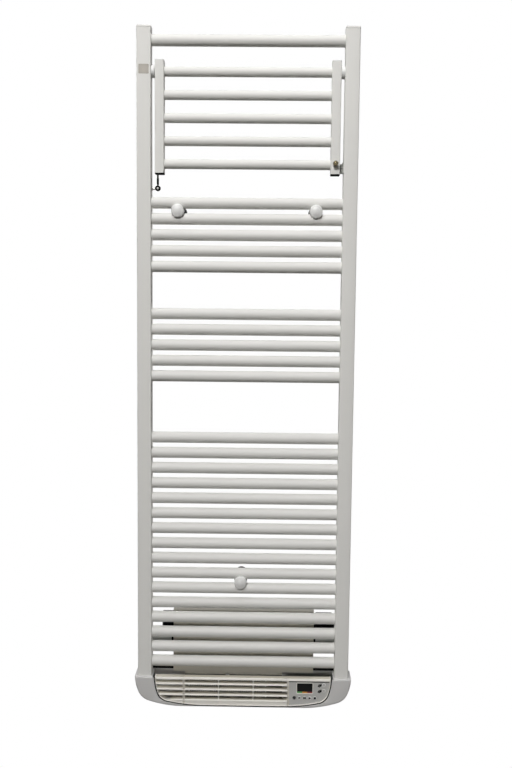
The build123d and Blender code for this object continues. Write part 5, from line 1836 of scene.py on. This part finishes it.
LAMPS = (
    Lamp("back fill", (0.0, -2600.0, 1300.0), (0.0, 70.0, -700.0), (2.0, 1.5), 24.0),
    Lamp("key", (-900.0, 3700.0, 3000.0), (0.0, 70.0, 450.0), (1.6, 1.0), 32.5, (1.0, 0.992, 0.977), 75.0),
    Lamp("ceiling", (-200.0, 1100.0, 4200.0), (0.0, 70.0, 0.0), (2.5, 1.5), 46.0),
    Lamp("low front", (100.0, 2500.0, -900.0), (0.0, 80.0, -1150.0), (0.8, 0.5), 1.15, spread=65.0),
)


@dataclass
class Studio:
    """Camera, lamps, pale floor and white surroundings. The sky's stops go from below to above."""

    camera_at: Point = (61.05, 2488.0, -174.15)
    tilt: float = 5.866
    yaw: float = -0.828
    roll: float = 0.557
    focal_px: float = 978.2
    picture_height_px: float = 768.0
    sensor_height_mm: float = 24.0
    floor_z: float = -1600.0
    floor_reach: float = 6000.0
    floor_thickness: float = 20.0
    floor_colour: Colour = (0.20, 0.19, 0.16)
    sky: tuple[tuple[float, Colour], ...] = (
        (0.0, (0.01, 0.0095, 0.008)), (0.45, (0.024, 0.023, 0.019)), (1.0, (0.08, 0.08, 0.08)),
    )

    def camera(self) -> None:
        """Set the camera where the photograph was taken from."""
        tilt, yaw, roll = (math.radians(a) for a in (self.tilt, self.yaw, self.roll))
        ahead = Vector((math.sin(yaw) * math.cos(tilt), math.cos(yaw) * math.cos(tilt), -math.sin(tilt)))
        right = Vector((math.cos(yaw), -math.sin(yaw), 0.0))
        up = right.cross(ahead)
        turned_right = right * math.cos(roll) + up * math.sin(roll)
        turned_up = up * math.cos(roll) - right * math.sin(roll)
        lens = bpy.data.cameras.new("camera")
        lens.sensor_fit = "VERTICAL"
        lens.sensor_height = self.sensor_height_mm
        lens.lens = self.focal_px / self.picture_height_px * self.sensor_height_mm
        holder = bpy.data.objects.new("camera", lens)
        turn = Matrix((turned_right, turned_up, -ahead)).transposed().to_4x4()
        holder.matrix_world = Matrix.Translation(place(*self.camera_at)) @ turn
        bpy.context.scene.collection.objects.link(holder)
        bpy.context.scene.camera = holder

    def white_where_seen(self, graph: Graph) -> Signal:
        """Tell the rays that should meet plain white from those that only light.

        Args:
            graph: the tree that asks.

        Returns:
            1 for rays that should meet white, otherwise 0.
        """
        camera, glossy, through = (graph.node("ShaderNodeLightPath", output=f"Is {kind} Ray")
                                   for kind in ("Camera", "Glossy", "Transmission"))
        return graph.node("ShaderNodeMath", {"operation": "MINIMUM"}, {0: camera + glossy + through, 1: 1.0})

    def world(self) -> None:
        """Make the surroundings white where seen and a soft sky where they light."""
        world = bpy.data.worlds.new("studio")
        world.use_nodes = True
        bpy.context.scene.world = world
        graph = Graph(world.node_tree)
        height = graph.node("ShaderNodeSeparateXYZ", None,
                            {0: graph.node("ShaderNodeTexCoord", output="Generated")}, "Z")
        sky = graph.node("ShaderNodeValToRGB", {"stops": self.sky}, {0: 0.5 + 0.5 * height})
        seen = graph.mix(self.white_where_seen(graph), sky, WHITE_LIGHT)
        light = graph.node("ShaderNodeBackground", None, {"Color": seen, "Strength": 1.0})
        graph.node("ShaderNodeOutputWorld", None, {0: light})

    def floor(self) -> None:
        """Lay a plain pale floor that keeps the object's shadow."""
        skin = Skin()
        reach = around(0.0, self.floor_reach)
        skin.block(reach, reach, (self.floor_z - self.floor_thickness, self.floor_z), 0)
        made = skin.scratch("floor")
        material = bpy.data.materials.new("floor white")
        material.use_nodes = True
        graph = Graph(material.node_tree)
        matt = graph.node("ShaderNodeBsdfDiffuse", None, {"Color": self.floor_colour, "Roughness": 1.0})
        white = graph.node("ShaderNodeEmission", None, {"Color": WHITE_LIGHT, "Strength": 1.0})
        shown = graph.node("ShaderNodeMixShader", None,
                           {0: self.white_where_seen(graph), 1: matt, 2: white})
        graph.node("ShaderNodeOutputMaterial", None, {0: shown})
        made.data.materials.append(material)

    def build(self) -> None:
        """Set up the camera, the lamps and the surroundings."""
        self.camera()
        for lamp in LAMPS:
            lamp.hang()
        self.world()
        self.floor()
        bpy.context.scene.view_settings.view_transform = "Standard"


def main() -> None:
    """Build every sub-assembly in order."""
    logging.basicConfig(level=logging.INFO, format="%(name)s %(message)s")
    Studio().build()
    ladder = Ladder()
    ladder.build()
    BracketSet(ladder).build()
    DryingRack().build()
    casing = BlowerCasing()
    casing.build(ladder)
    ControlFascia(casing).build()
    for solid in KEPT:
        solid.dress()


if __name__ == "__main__":
    main()
